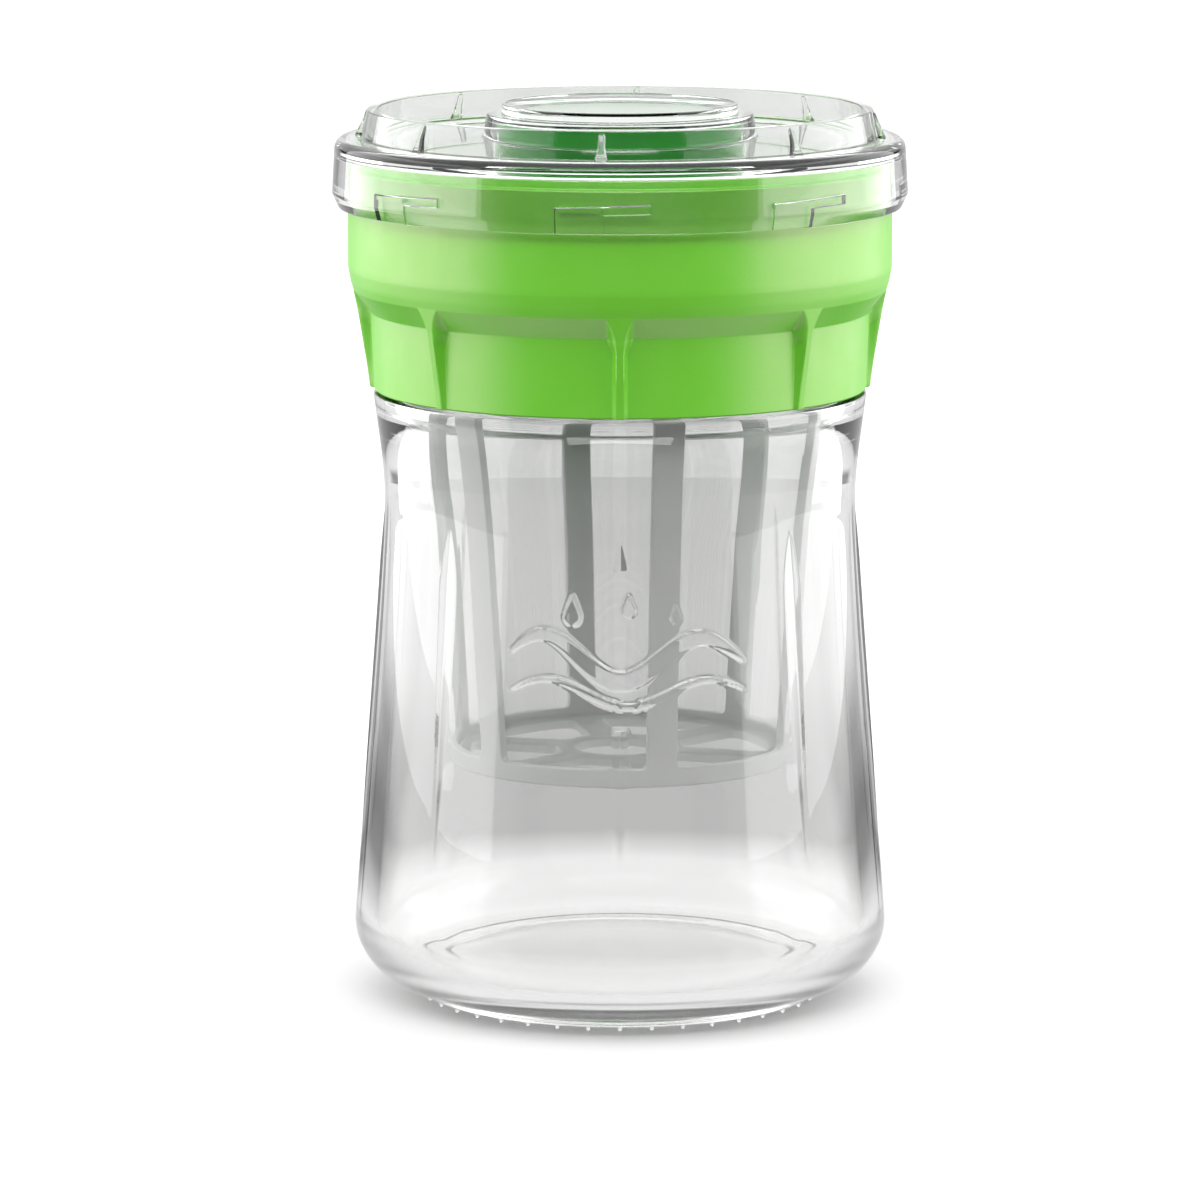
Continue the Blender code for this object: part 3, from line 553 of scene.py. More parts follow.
def thread_swell(height, angles, start, side):
    """How far a round bead on a right-hand helix of one turn stands out at each height and angle."""
    swell = np.zeros((len(height), len(angles)))
    height = np.asarray(height)[:, None]
    for turn in (-1, 0, 1):
        wound = angles + tau * turn
        along = np.degrees(wound)
        ends = smooth_step(0, THREAD_TAPER, along) * smooth_step(0, THREAD_TAPER, 360 - along)
        off = height - (start + THREAD_PITCH * wound / tau)
        bead = np.sqrt(np.clip(THREAD_BEAD**2 - off**2, 0, None)) * ends
        swell = np.maximum(swell, bead)
    return side * swell


def emblem_height(across, height):
    """Relief of the emblem: a wave-shaped ribbon with a thinner one under it and three drops, 0 to 1."""
    t = np.linspace(0, 1, 240)
    s_wave = EMBLEM_LEFT + 2.2 + t * (EMBLEM_RIGHT - EMBLEM_LEFT - 4.4)
    z_wave = 72.6 + 4.6 * np.sin(tau * (t * 1.5 + 0.04)) * (1 - 0.25 * t)
    z_under = 66.2 + 2.6 * np.sin(tau * (t * 1.5 + 0.0)) * (1 - 0.2 * t)
    width = 1.9 * np.sin(pi * np.clip(t * 0.94 + 0.03, 0, 1)) ** 0.55
    depth = np.full(np.broadcast(across, height).shape, -9.0)
    for heights, share in ((z_wave, 1.0), (z_under, 0.42)):
        for s, z, half in zip(s_wave, heights, width):
            depth = np.maximum(depth, share * half - np.hypot(across - s, height - z))
    for s, z, size in EMBLEM_DROPS:
        rise = (height - z) / (2.2 * size)
        drop = size * (1 - np.clip(rise, 0, 1)) ** 0.8 - np.hypot(across - s, np.minimum(height - z, 0))
        depth = np.maximum(depth, drop - 4 * np.clip(rise - 0.94, 0, None))
    return smooth_step(-0.22, 0.3, depth)


def jar_shell(sizes):
    """Closed glass wall: floor, inside, lip, threaded neck, shoulder, fluted outside, heel, foot and recess."""
    belly, waist, shoulder = (value / MM for value in (sizes.belly_radius, sizes.waist_radius, sizes.shoulder_radius))
    inner_belly, inner_waist = belly - HEEL_WALL, waist - JAR_WALL
    plain, neck_angles = even_angles(1.875), even_angles(1.5)
    front = np.degrees((EMBLEM_RIGHT + 1.2) / belly)
    zones = [(0, front + 2)] + [(360 * k / JAR_FLUTE_COUNT, FLUTE_ZONE) for k in range(1, JAR_FLUTE_COUNT)]
    outer = angles_with(zones, 0.38, 2.5)

    shell = Shell()
    inside = np.concatenate(
        [
            [(r, JAR_FLOOR) for r in JAR_FLOOR_RADII],
            arc((38.6, 15.6), 8.6, -90, 0, 14)[:-1],
            bezier((inner_belly, 15.6), (46.0, 30.8), (inner_waist, 83.8), (inner_waist, WAIST_HEIGHT), 36),
            bezier((inner_waist, WAIST_HEIGHT), (inner_waist, 103.8), (inner_waist, 110.8), (NECK_BORE, 115.2), 14),
            line((NECK_BORE, 115.2), (NECK_BORE, 140.0), 8),
            arc((NECK_BORE + LIP_ROUND, JAR_TOP - LIP_ROUND), LIP_ROUND, 180, 90, 5),
        ]
    )
    inner_rings = shell.rows(inside, plain)
    shell.pole(inner_rings[0], JAR_FLOOR)

    neck_heights = np.arange(139.9, 118.3, -0.36)
    lip = arc((NECK_RADIUS - LIP_ROUND, JAR_TOP - LIP_ROUND), LIP_ROUND, 90, 0, 5)
    neck = np.stack([np.full(len(neck_heights), NECK_RADIUS), neck_heights], axis=1)
    beads = thread_swell(neck_heights, neck_angles, THREAD_START, 1)
    neck_swell = np.concatenate([np.zeros((len(lip), len(neck_angles))), beads])
    neck_rings = shell.rows(np.concatenate([lip, neck]), neck_angles, neck_swell)
    shell.stitch(inner_rings[-1], plain, neck_rings[0], neck_angles)

    root = arc((NECK_RADIUS + 1.0, SHOULDER_TOP + 1.0), 1.0, 180, 270, 4)
    step_rings = shell.rows(np.concatenate([root, [(shoulder - 1.0, SHOULDER_TOP)]]), neck_angles)
    shell.join(neck_rings[-1], step_rings[0])

    side = fluted_side(belly, waist, shoulder)
    across = np.where(outer > pi, outer - tau, outer) * belly * EMBLEM_WRAP
    relief = emblem_height(across[None, :], side[:, 1:2]) * (sizes.emblem_relief / MM)
    side_rings = shell.rows(side, outer, relief)
    shell.stitch(step_rings[-1], neck_angles, side_rings[0], outer)

    foot = np.concatenate(
        [
            bezier((51.16, 12.3), (50.8, 9.9), (48.6, 6.2), (45.4, 3.9), 12),
            bezier((45.4, 3.9), (43.6, 2.9), (41.6, 2.6), (39.9, 2.5), 5),
            arc((39.4, 2.1), 0.4, 90, 180, 2),
            arc((38.4, FOOT_LIFT + 0.6), 0.6, 0, -90, 4),
            [(36.4, FOOT_LIFT)],
            arc((34.9, FOOT_LIFT + 0.4), 0.4, 270, 180, 3),
            rounded([(34.3, 1.2, 0), (33.4, JAR_RECESS, 0.6), (30.0, JAR_RECESS, 0)], False),
            [(r, JAR_RECESS) for r in (24.0, 16.0, 8.0)],
        ]
    )
    foot_rings = shell.rows(foot, plain)
    shell.stitch(side_rings[-1], outer, foot_rings[0], plain)
    shell.pole(foot_rings[-1], JAR_RECESS)
    return shell.mesh("jar_glass")


def fluted_side(belly, waist, shoulder):
    """The outside from the shoulder's edge down to the heel, with close rows where flutes and emblem need them."""
    upper = bezier((shoulder, 116.4), (shoulder - 0.8, 109.1), (waist, 103.8), (waist, WAIST_HEIGHT), 200)
    lower = bezier((waist, WAIST_HEIGHT), (waist, 83.8), (belly - 1.2, 30.1), (belly, 14.9), 800)
    curve = np.concatenate([upper, lower, [(belly, 14.9)]])[::-1]
    heights = np.concatenate(
        [
            [116.4],
            np.arange(115.6, 96.5, -1.1),
            np.arange(96.0, FLUTE_GAP_HIGH + 0.1, -0.42),
            [FLUTE_GAP_HIGH + 0.04, FLUTE_GAP_HIGH - 0.04],
            np.arange(FLUTE_GAP_HIGH - 0.5, EMBLEM_HIGH + 1, -0.7),
            np.arange(EMBLEM_HIGH + 0.6, EMBLEM_LOW - 0.8, -0.36),
            [60.2, FLUTE_GAP_LOW + 0.04, FLUTE_GAP_LOW - 0.04],
            np.arange(58.6, 30.0, -0.95),
            np.arange(29.0, 16.0, -2.1),
        ]
    )
    body = np.stack([np.interp(heights, curve[:, 1], curve[:, 0]), heights], axis=1)
    edge = arc((shoulder - SHOULDER_EASE, SHOULDER_TOP - SHOULDER_EASE), SHOULDER_EASE, 90, 0, 4)
    heel = bezier((belly, 14.9), (belly, 13.9), (51.3, 13.1), (51.16, 12.3), 4)
    return np.concatenate([edge, body, heel])


def flute_tree():
    """Raises slender pointed flutes, equally spaced round the jar, and leaves the front one open at the emblem."""
    tree, given = new_tree(
        "jar_flutes",
        [
            ("Count", "Int", JAR_FLUTE_COUNT),
            ("Half Width", "Float", 0.002),
            ("Slope", "Float", 0.2),
            ("Top", "Float", 0.0953),
            ("Widest", "Float", 0.083),
            ("Bottom", "Float", 0.031),
            ("Gap Top", "Float", FLUTE_GAP_HIGH * MM),
            ("Gap Bottom", "Float", FLUTE_GAP_LOW * MM),
            ("Least Radius", "Float", 0.0449),
        ],
    )
    _, less, times, over = maths(tree)

    def taper(end, power):
        """Half width of a flute between its widest place and one end."""
        length = less(given["Widest"], end)
        share = over(less(z, end), length, clamp=True)
        bare = calc(tree, "POWER", less(1.0, share), power)
        return times(given["Half Width"], less(1.0, bare))

    x, y, z = split(tree, add_node(tree, "GeometryNodeInputPosition").outputs[0])
    radius = from_axis(tree, x, y)
    turn = calc(tree, "ARCTAN2", x, times(y, -1.0))
    sector = over(tau, given["Count"])
    steps = over(turn, sector)
    nearest = calc(tree, "ROUND", steps)
    off = times(less(steps, nearest), times(sector, radius))
    half = calc(tree, "MINIMUM", taper(given["Top"], 1.8), taper(given["Bottom"], 2.2))
    inside = calc(tree, "MAXIMUM", less(half, calc(tree, "ABSOLUTE", off)), 0.0)
    front = calc(tree, "COMPARE", nearest, 0.0, 0.5)
    above = calc(tree, "GREATER_THAN", z, given["Gap Bottom"])
    below = calc(tree, "LESS_THAN", z, given["Gap Top"])
    open_gap = times(front, times(above, below))
    outside = calc(tree, "GREATER_THAN", radius, given["Least Radius"])
    kept = times(less(1.0, open_gap), outside)
    swell = times(times(inside, given["Slope"]), kept)
    share = over(swell, calc(tree, "MAXIMUM", radius, 0.001))
    outwards_by = {"X": times(x, share), "Y": times(y, share)}
    offset = add_node(tree, "ShaderNodeCombineXYZ", outwards_by).outputs[0]
    moved = add_node(tree, "GeometryNodeSetPosition", {"Geometry": given["Geometry"], "Offset": offset}).outputs[0]
    return end_tree(tree, moved, given["Material"])


def foot_nub():
    """One of the small bumps under the foot's edge that the jar stands on, made at the front."""
    mesh = bpy.data.meshes.new("foot_nub")
    shape = bmesh.new()
    bmesh.ops.create_icosphere(shape, subdivisions=2, radius=NUB_RADIUS * MM)
    for corner in shape.verts:
        corner.co.z *= NUB_STRETCH
        corner.co += Vector((0.0, -NUB_RING, NUB_RADIUS * NUB_STRETCH)) * MM
    shape.to_mesh(mesh)
    shape.free()
    return mesh


class KefirJarSizes(bpy.types.PropertyGroup):
    belly_radius: FloatProperty(
        name="Belly Radius", description="Widest radius, above the heel", default=0.0514, unit="LENGTH"
    )
    waist_radius: FloatProperty(
        name="Waist Radius", description="Narrowest outer radius, under the shoulder", default=0.0452, unit="LENGTH"
    )
    shoulder_radius: FloatProperty(
        name="Shoulder Radius",
        description="Radius of the shoulder's edge, which meets the collar",
        default=0.0472,
        unit="LENGTH",
    )
    flute_half_width: FloatProperty(
        name="Flute Half Width",
        description="Half the width of a flute where it is widest",
        default=0.0021,
        unit="LENGTH",
    )
    flute_slope: FloatProperty(
        name="Flute Slope", description="How steeply a flute's two faces rise to its ridge", default=0.24
    )
    heel_frost: FloatProperty(name="Heel Frost", description="Roughness of the frosted heel", default=0.16)
    emblem_relief: FloatProperty(
        name="Emblem Relief", description="How far the plain wave emblem stands out", default=0.00045, unit="LENGTH"
    )
    nub_count: IntProperty(name="Foot Nubs", description="Small bumps round the foot's edge", default=40)
    colour: FloatVectorProperty(
        name="Glass Colour", description="Tint of the glass", default=(0.992, 0.993, 0.99), subtype="COLOR"
    )


class KEFIR_OT_jar(bpy.types.Operator):
    """Builds the glass jar with its threaded neck, flutes, wave emblem and gripping foot"""

    bl_idname = "kefir.jar"
    bl_label = "Glass Jar"

    def execute(self, context):
        sizes = context.scene.kefir_jar
        glass = glass_material(sizes.colour, sizes.heel_frost)
        jar = place(jar_shell(sizes))
        values = {"Half Width": sizes.flute_half_width, "Slope": sizes.flute_slope, "Material": glass}
        grow(jar, flute_tree(), values)
        pattern_ring(jar, "jar_foot_nubs", "UNION", foot_nub(), sizes.nub_count, 0.0, glass)
        dress(jar, glass, "jar", "clear_glass", "jar")
        return {"FINISHED"}


# ------------------------------------------------------------------------------------------------------ collar


COLLAR_OUTSIDE = (
    (47.15, 118.1, 0),
    (47.8, 132.9, 0.35),
    (51.0, 137.0, 0.45),
    (51.5, 138.6, 2.0),
    (52.0, 141.4, 3.0),
    (52.0, 160.2, 0),
)
COLLAR_TOP = (
    (52.0, 160.7, 0.5),
    (50.0, 160.7, 0.25),
    (50.0, 162.9, 0.5),
    (47.6, 162.9, 0.5),
    (47.6, 159.1, 0.4),
    (49.4, 157.3, 0.8),
    (49.4, 146.0, 0.5),
    (39.6, 146.0, 0.4),
    (39.6, 143.6, 0.4),
    (45.2, 143.6, 0.5),
)
RIB_LINE = (  # height and radius of a rib's crest
    (118.1, 47.96),
    (122.2, 48.5),
    (126.8, 49.25),
    (132.6, 50.2),
    (137.3, 51.08),
    (138.6, 51.3),
    (141.0, 51.3),
)
GASKET_OUTLINE = ((44.3, 143.3, 0.5), (44.3, 141.3, 0.5), (40.3, 141.3, 0.5), (40.3, 143.3, 0.5))
COLLAR_FOOT, COLLAR_FOOT_EASE, COLLAR_BORE, COLLAR_BORE_TOP = 118.1, 0.3, 45.2, 142.9
LUG_ROOT, LUG_REACH, LUG_LOW, LUG_HIGH = 51.4, 53.0, 156.75, 157.65
BAYONET_ANGLE, THREAD_GAP = -8.2, 0.3
RIB_ZONE = 5.2  # half width of the close columns at a rib, in degrees


def collar_shell(sizes):
    """Closed collar: ribbed panels under a sloping ledge and a plain band, then the rim, cup and threaded bore."""
    spacing = 360 / sizes.rib_count
    outer = angles_with([(360 * k / sizes.rib_count, RIB_ZONE) for k in range(sizes.rib_count)], 0.24, 2.5)
    plain = even_angles(1.5)
    shell = Shell()

    smooth = rounded(COLLAR_OUTSIDE, False)
    heights = np.concatenate(
        [
            np.arange(COLLAR_FOOT, 129.5, 0.95),
            np.arange(129.8, 132.4, 0.3),
            np.arange(132.5, 133.5, 0.12),
            np.arange(133.6, 136.5, 0.3),
            np.arange(136.6, 137.6, 0.12),
            np.arange(137.8, 142, 0.6),
            np.linspace(142.5, 160.2, 8),
        ]
    )
    panel = np.interp(heights, smooth[:, 1], smooth[:, 0])[:, None]
    off = np.abs((np.degrees(outer) + spacing / 2) % spacing - spacing / 2)
    ridge = np.interp(heights, *zip(*RIB_LINE))[:, None]
    across = np.radians(off)[None, :] * ridge
    # A rib's foot widens where the panel meets the ledge, and its crest spreads over the ledge.
    foot_half = (sizes.rib_width / MM) / 2 + 1.2 * smooth_step(130.0, 132.9, heights)[:, None]
    crest_half = 0.65 + 2.0 * np.clip((heights - 132.7) / 4.3, 0, 1)[:, None] ** 1.8
    slide = np.clip((across - crest_half) / (foot_half - crest_half), 0, 1)
    slide = slide - 0.7 * np.sin(tau * slide) / tau
    surface = panel + np.clip(ridge - panel, 0, None) * (1 - slide)
    outline = np.stack([np.zeros(len(heights)), heights], axis=1)
    rings = shell.rows(outline, outer, surface)

    foot_low = COLLAR_FOOT - COLLAR_FOOT_EASE
    foot = shell.rows([(0, foot_low)], outer, surface[:1] - COLLAR_FOOT_EASE)
    shell.join(foot[0], rings[0])

    top = rounded((COLLAR_OUTSIDE[-1],) + COLLAR_TOP + ((COLLAR_BORE, COLLAR_BORE_TOP, 0),), False)[1:]
    top_rings = shell.rows(top, plain)
    shell.stitch(rings[-1], outer, top_rings[0], plain)
    bore_heights = np.arange(142.5, 118.6, -0.36)
    beads = thread_swell(bore_heights, plain, THREAD_START - collar_thread_drop(), -1)
    bore = np.stack([np.full(len(bore_heights), COLLAR_BORE), bore_heights], axis=1)
    bore_rings = shell.rows(bore, plain, beads)
    shell.join(top_rings[-1], bore_rings[0])
    last = shell.rows([(COLLAR_BORE, COLLAR_FOOT), (COLLAR_BORE + COLLAR_FOOT_EASE, foot_low)], plain)
    shell.join(bore_rings[-1], last[0])
    shell.stitch(last[-1], plain, foot[0], outer)
    return shell.mesh("collar_moulding")


def collar_thread_drop():
    """How far the collar's bead runs below the jar's."""
    apart = 2 * THREAD_BEAD + THREAD_GAP
    return (apart**2 - (COLLAR_BORE - NECK_RADIUS) ** 2) ** 0.5


def bayonet_lug(sizes, steps=8):
    """One lug that follows the round band, made at the front."""
    half_turn = sizes.lug_width / MM / 2 / LUG_REACH
    profile = ((LUG_ROOT, LUG_LOW), (LUG_REACH, LUG_LOW), (LUG_REACH, LUG_HIGH), (LUG_ROOT, LUG_HIGH))
    return bar("bayonet_lug", [stood(profile, (2 * k / steps - 1) * half_turn) for k in range(steps + 1)])


class KefirCollarSizes(bpy.types.PropertyGroup):
    rib_count: IntProperty(name="Ribs", description="Upright grip ribs round the collar", default=8)
    rib_width: FloatProperty(
        name="Rib Width", description="Width of a rib on the panels", default=0.0030, unit="LENGTH"
    )
    lug_count: IntProperty(name="Lugs", description="Bayonet lugs under the band's top", default=8)
    lug_width: FloatProperty(
        name="Lug Width", description="Length of a lug round the band", default=0.0080, unit="LENGTH"
    )
    colour: FloatVectorProperty(
        name="Collar Colour",
        description="Lime green of the moulded plastic",
        default=(0.138, 0.67, 0.002),
        subtype="COLOR",
    )
    roughness: FloatProperty(name="Collar Roughness", description="Satin finish of the moulded plastic", default=0.38)
    gasket_colour: FloatVectorProperty(
        name="Gasket Colour", description="Colour of the silicone rings", default=(0.80, 0.81, 0.79), subtype="COLOR"
    )


class KEFIR_OT_collar(bpy.types.Operator):
    """Builds the lime collar with its ribs, lugs and thread, and the gasket under it"""

    bl_idname = "kefir.collar"
    bl_label = "Screw Collar"

    def execute(self, context):
        sizes = context.scene.kefir_collar
        lime = satin_plastic_material(
            "lime_collar_plastic", sizes.colour, sizes.roughness, 0.00002, gloss=1.0, ior=1.8, sheen=(1.0, 0.52, 0.78)
        )
        collar = place(collar_shell(sizes))
        pattern_ring(collar, "collar_lugs", "UNION", bayonet_lug(sizes), sizes.lug_count, BAYONET_ANGLE, lime)
        dress(collar, lime, "collar", "lime_plastic", "collar")
        gasket = place(turned("gasket_ring", GASKET_OUTLINE, True))
        dress(gasket, silicone_material(sizes.gasket_colour), "collar_gasket", "silicone", "collar_gasket")
        return {"FINISHED"}


# ---------------------------------------------------------------------------------------------------- strainer


BASKET_OUTLINE = (
    (8.7, 47.4, 0.35),
    (31.46, 47.4, 0.8),
    (36.8, 118.0, 0),
    (36.8, 148.3, 0.9),
    (44.9, 148.3, 0.3),
    (44.9, 150.9, 0.5),
    (46.5, 150.9, 0.5),
    (46.5, 146.3, 0.5),
    (38.6, 146.3, 0.5),
    (38.6, 118.0, 0),
    (33.1, 45.6, 0.6),
    (8.7, 45.6, 0.35),
)
BASKET_BOTTOM, BASKET_TAPER_TOP = 45.6, 118.0
BASKET_BOTTOM_RADIUS, BASKET_RADIUS, BASKET_WALL = 33.1, 38.6, 1.8
WINDOW_LOW, WINDOW_HIGH, WINDOW_CORNER = 49.2, 117.2, 1.2
WINDOW_LEVELS = (  # depth from the wall's outside, and how far the edge is eased there
    (9.0, 0.34),
    (0.0, 0.34),
    (-0.1, 0.14),
    (-0.34, 0.0),
    (0.3 - BASKET_WALL, 0.0),
    (-BASKET_WALL, 0.24),
    (-BASKET_WALL - 4, 0.24),
)
FLOOR_GAP_INNER, FLOOR_GAP_OUTER = 12.3, 28.66
FLOOR_GAP_LEVELS = ((49.5, 0.25), (47.4, 0.25), (47.15, 0.0), (45.85, 0.0), (45.6, 0.25), (43.6, 0.25))
SLEEVE_GAP, SLEEVE_THICKNESS, SLEEVE_LOW, DISC_RADIUS = 0.3, 0.5, 47.7, 30.3


def basket_radius(height):
    """Outer radius of the basket's wall."""
    share = np.clip((height - BASKET_BOTTOM) / (BASKET_TAPER_TOP - BASKET_BOTTOM), 0, 1)
    return BASKET_BOTTOM_RADIUS + (BASKET_RADIUS - BASKET_BOTTOM_RADIUS) * share


def outward(outline):
    """Directions square to a closed flat outline, one for each point."""
    edges = np.roll(outline, -1, axis=0) - np.roll(outline, 1, axis=0)
    return np.stack([edges[:, 1], -edges[:, 0]], axis=1) / np.hypot(*edges.T)[:, None]


def open_turn(sizes, radius):
    """Angle from the middle of a window or floor gap to the rib or spoke beside it."""
    return pi / sizes.rib_count - np.arcsin(sizes.rib_width / MM / 2 / radius)


def window_cutter(sizes):
    """Cutter through the basket's wall for one window at the front, with its edges eased."""
    corners = []
    for height, signs in ((WINDOW_LOW, (-1, 1)), (WINDOW_HIGH, (1, -1))):
        radius = basket_radius(height)
        corners += [(sign * radius * open_turn(sizes, radius), height, WINDOW_CORNER) for sign in signs]
    outline = resampled(rounded(corners, True), 1.3)
    out = outward(outline)
    sections = []
    for depth, ease in WINDOW_LEVELS:
        across, height = (outline + out * ease).T
        radius = basket_radius(height)
        reach, turn = radius + depth, across / radius
        sections.append(np.stack([reach * np.sin(turn), -reach * np.cos(turn), height], axis=1))
    shell = Shell()
    rings = shell.loft(sections)
    for ring, section in ((rings[0], sections[0]), (rings[-1], sections[-1])):
        middle = section.mean(axis=0)
        middle[1] = -np.hypot(section[0][0], section[0][1])
        shell.close(ring, middle)
    return shell.mesh("strainer_window")


def resampled(outline, step):
    """The same closed outline with no edge longer than a step."""
    points = []
    for here, after in zip(outline, np.roll(outline, -1, axis=0)):
        count = max(1, int(np.ceil(np.hypot(*(after - here)) / step)))
        points.append(np.linspace(here, after, count, endpoint=False))
    return np.concatenate(points)


def floor_cutter(sizes):
    """Shape that opens one gap of the basket's floor at the front, between the rings and two spokes."""
    sides = ((FLOOR_GAP_INNER, -1), (FLOOR_GAP_OUTER, -1), (FLOOR_GAP_OUTER, 1), (FLOOR_GAP_INNER, 1))
    corners = [(radius, sign * open_turn(sizes, radius)) for radius, sign in sides]

    def spot(radius, turn):
        """Place on the floor at a radius and an angle from the front."""
        return np.array([radius * sin(turn), -radius * cos(turn)])

    points = []
    for (r_a, t_a), (r_b, t_b) in zip(corners, corners[1:] + corners[:1]):
        for share in np.arange(14) / 14:
            if r_a == r_b:
                points.append(spot(r_a, t_a + (t_b - t_a) * share))
            else:
                points.append(spot(r_a, t_a) + (spot(r_b, t_b) - spot(r_a, t_a)) * share)
    flat = eased_loop(points, 0.5)
    out = outward(flat)
    out *= np.sign(np.sum(out * (flat - flat.mean(axis=0))))
    return bar("strainer_floor_gap", [[(x, y, z) for x, y in flat + out * ease] for z, ease in FLOOR_GAP_LEVELS])


def eased_loop(points, share):
    """A closed loop whose sharp corners are cut and smoothed once."""
    points = np.array(points)
    for _ in range(2):
        before, after = np.roll(points, 1, axis=0), np.roll(points, -1, axis=0)
        points = points * (1 - share) + (before + after) * share / 2
    return points


def sleeve_mesh(sizes):
    """Closed thin wall of the mesh sleeve, with a UV unit for each thread."""
    pitch = sizes.mesh_pitch / MM
    columns = 180
    heights = np.linspace(SLEEVE_LOW, BASKET_TAPER_TOP, 12)
    outer = basket_radius(heights) - BASKET_WALL - SLEEVE_GAP
    loop = np.concatenate([np.stack([outer, heights], 1), np.stack([outer - SLEEVE_THICKNESS, heights], 1)[::-1]])
    threads = round(tau * outer.mean() / pitch)
    rise = np.concatenate([heights, heights[::-1]]) / pitch
    shell = Shell()
    rings = shell.rows(loop, np.linspace(0, tau, columns, endpoint=False))
    shell.join(rings[-1], rings[0])
    mesh = shell.plain_mesh("strainer_sleeve")
    layer = mesh.uv_layers.new(name="weave")
    for polygon in mesh.polygons:
        spots = [divmod(mesh.loops[i].vertex_index, columns) for i in polygon.loop_indices]
        wraps = any(column == columns - 1 for _, column in spots) and any(column == 0 for _, column in spots)
        for i, (row, column) in zip(polygon.loop_indices, spots):
            turn = columns if wraps and column == 0 else column
            layer.data[i].uv = (threads * turn / columns, rise[row])
    return outwards(mesh)


def disc_mesh(sizes):
    """Closed thin disc of mesh, with a UV unit for each thread."""
    pitch = sizes.mesh_pitch / MM
    low, high = SLEEVE_LOW, SLEEVE_LOW + SLEEVE_THICKNESS
    outline = ((0, high, 0), (DISC_RADIUS, high, 0.15), (DISC_RADIUS, low, 0.15), (0, low, 0))
    mesh = turned("strainer_disc", outline, False, steps=120)
    layer = mesh.uv_layers.new(name="weave")
    for loop in mesh.loops:
        spot = mesh.vertices[loop.vertex_index].co / MM / pitch
        layer.data[loop.index].uv = (spot.x, spot.y)
    return mesh


class KefirStrainerSizes(bpy.types.PropertyGroup):
    rib_count: IntProperty(name="Ribs", description="Upright ribs of the strainer's frame", default=6)
    rib_width: FloatProperty(
        name="Rib Width", description="Width of a rib and of a floor spoke", default=0.0058, unit="LENGTH"
    )
    rib_angle: FloatProperty(name="First Rib", description="Angle of a rib from the front, in degrees", default=13.6)
    mesh_pitch: FloatProperty(
        name="Mesh Pitch", description="Distance from thread to thread", default=0.0002, unit="LENGTH"
    )
    mesh_cover: FloatProperty(name="Thread Width", description="Thread width as a share of the pitch", default=0.065)
    frame_colour: FloatVectorProperty(
        name="Frame Colour", description="Grey of the strainer's frame", default=(0.66, 0.67, 0.66), subtype="COLOR"
    )
    mesh_colour: FloatVectorProperty(
        name="Mesh Colour", description="Colour of the mesh threads", default=(0.93, 0.935, 0.93), subtype="COLOR"
    )


class KEFIR_OT_strainer(bpy.types.Operator):
    """Builds the hanging strainer: grey frame, mesh sleeve and mesh floor"""

    bl_idname = "kefir.strainer"
    bl_label = "Strainer"

    def execute(self, context):
        sizes = context.scene.kefir_strainer
        grey = satin_plastic_material("grey_strainer_plastic", sizes.frame_colour, 0.42, 0.000008)
        basket = place(turned("strainer_basket", BASKET_OUTLINE, True))
        between = sizes.rib_angle + 180 / sizes.rib_count
        pattern_ring(basket, "strainer_windows", "DIFFERENCE", window_cutter(sizes), sizes.rib_count, between, grey)
        pattern_ring(basket, "strainer_floor_gaps", "DIFFERENCE", floor_cutter(sizes), sizes.rib_count, between, grey)
        dress(basket, grey, "strainer", "grey_plastic", "strainer_frame")
        weave = weave_material("fine_food_mesh", sizes.mesh_colour, sizes.mesh_cover)
        dress(place(sleeve_mesh(sizes)), weave, "strainer", "fine_mesh", "strainer_mesh_wall")
        dress(place(disc_mesh(sizes)), weave, "strainer", "fine_mesh", "strainer_mesh_floor")
        return {"FINISHED"}


# --------------------------------------------------------------------------------------------------------- lid


LID_OUTLINE = (
    (0.0, 171.3, 0),
    (17.6, 171.3, 0.8),
    (21.7, 172.15, 0.2),
    (21.9, 172.3, 0.1),
    (22.5, 172.3, 0.15),
    (22.6, 170.5, 0.15),
    (25.4, 170.5, 0.2),
    (26.2, 165.3, 0.4),
    (47.4, 165.3, 0.4),
    (46.25, 171.4, 0.25),
    (48.2, 171.4, 0.25),
    (49.4, 166.0, 0.35),
    (54.4, 166.0, 2.0),
    (55.0, 155.5, 0.8),
    (53.8, 152.8, 0.5),
    (52.4, 152.8, 0.3),
    (52.4, 163.2, 0.9),
    (45.2, 163.2, 0.3),
    (45.2, 158.9, 0.1),
    (46.1, 158.9, 0.15),
    (46.1, 158.2, 0.2),
    (43.4, 158.2, 0.3),
    (43.4, 163.2, 0.5),
    (24.0, 163.2, 0.4),
    (24.0, 169.3, 0.4),
    (0.0, 169.3, 0),
)
SEAL_OUTLINE = ((47.0, 162.2, 0.3), (46.55, 160.7, 0.4), (47.0, 159.2, 0.3), (45.5, 159.2, 0.2), (45.5, 162.2, 0.2))
GRIP_FOOT, GRIP_FOOT_RADIUS, GRIP_LEAN, GRIP_SINK, GRIP_EASE = 165.3, 48.9, 0.22, 0.6, 0.3
GRIP_LEVELS = (  # height, radius of the crest, and what its half width gains there
    (165.6, 50.75, 0.85),
    (166.1, 50.7, 0.55),
    (166.8, 50.3, 0.35),
    (168.6, 49.6, 0.0),
    (170.6, 48.7, 0.0),
    (171.0, 48.35, -0.2),
)
GROOVE_INNER, GROOVE_DEPTH, GROOVE_EASE = 52.1, 53.25, 0.25
SLOT_LOW, ARM_LOW, ARM_LOW_CLIMB, ARM_TOP, ARM_TOP_CLIMB = 151.5, 156.1, 0.35, 157.8, 0.55


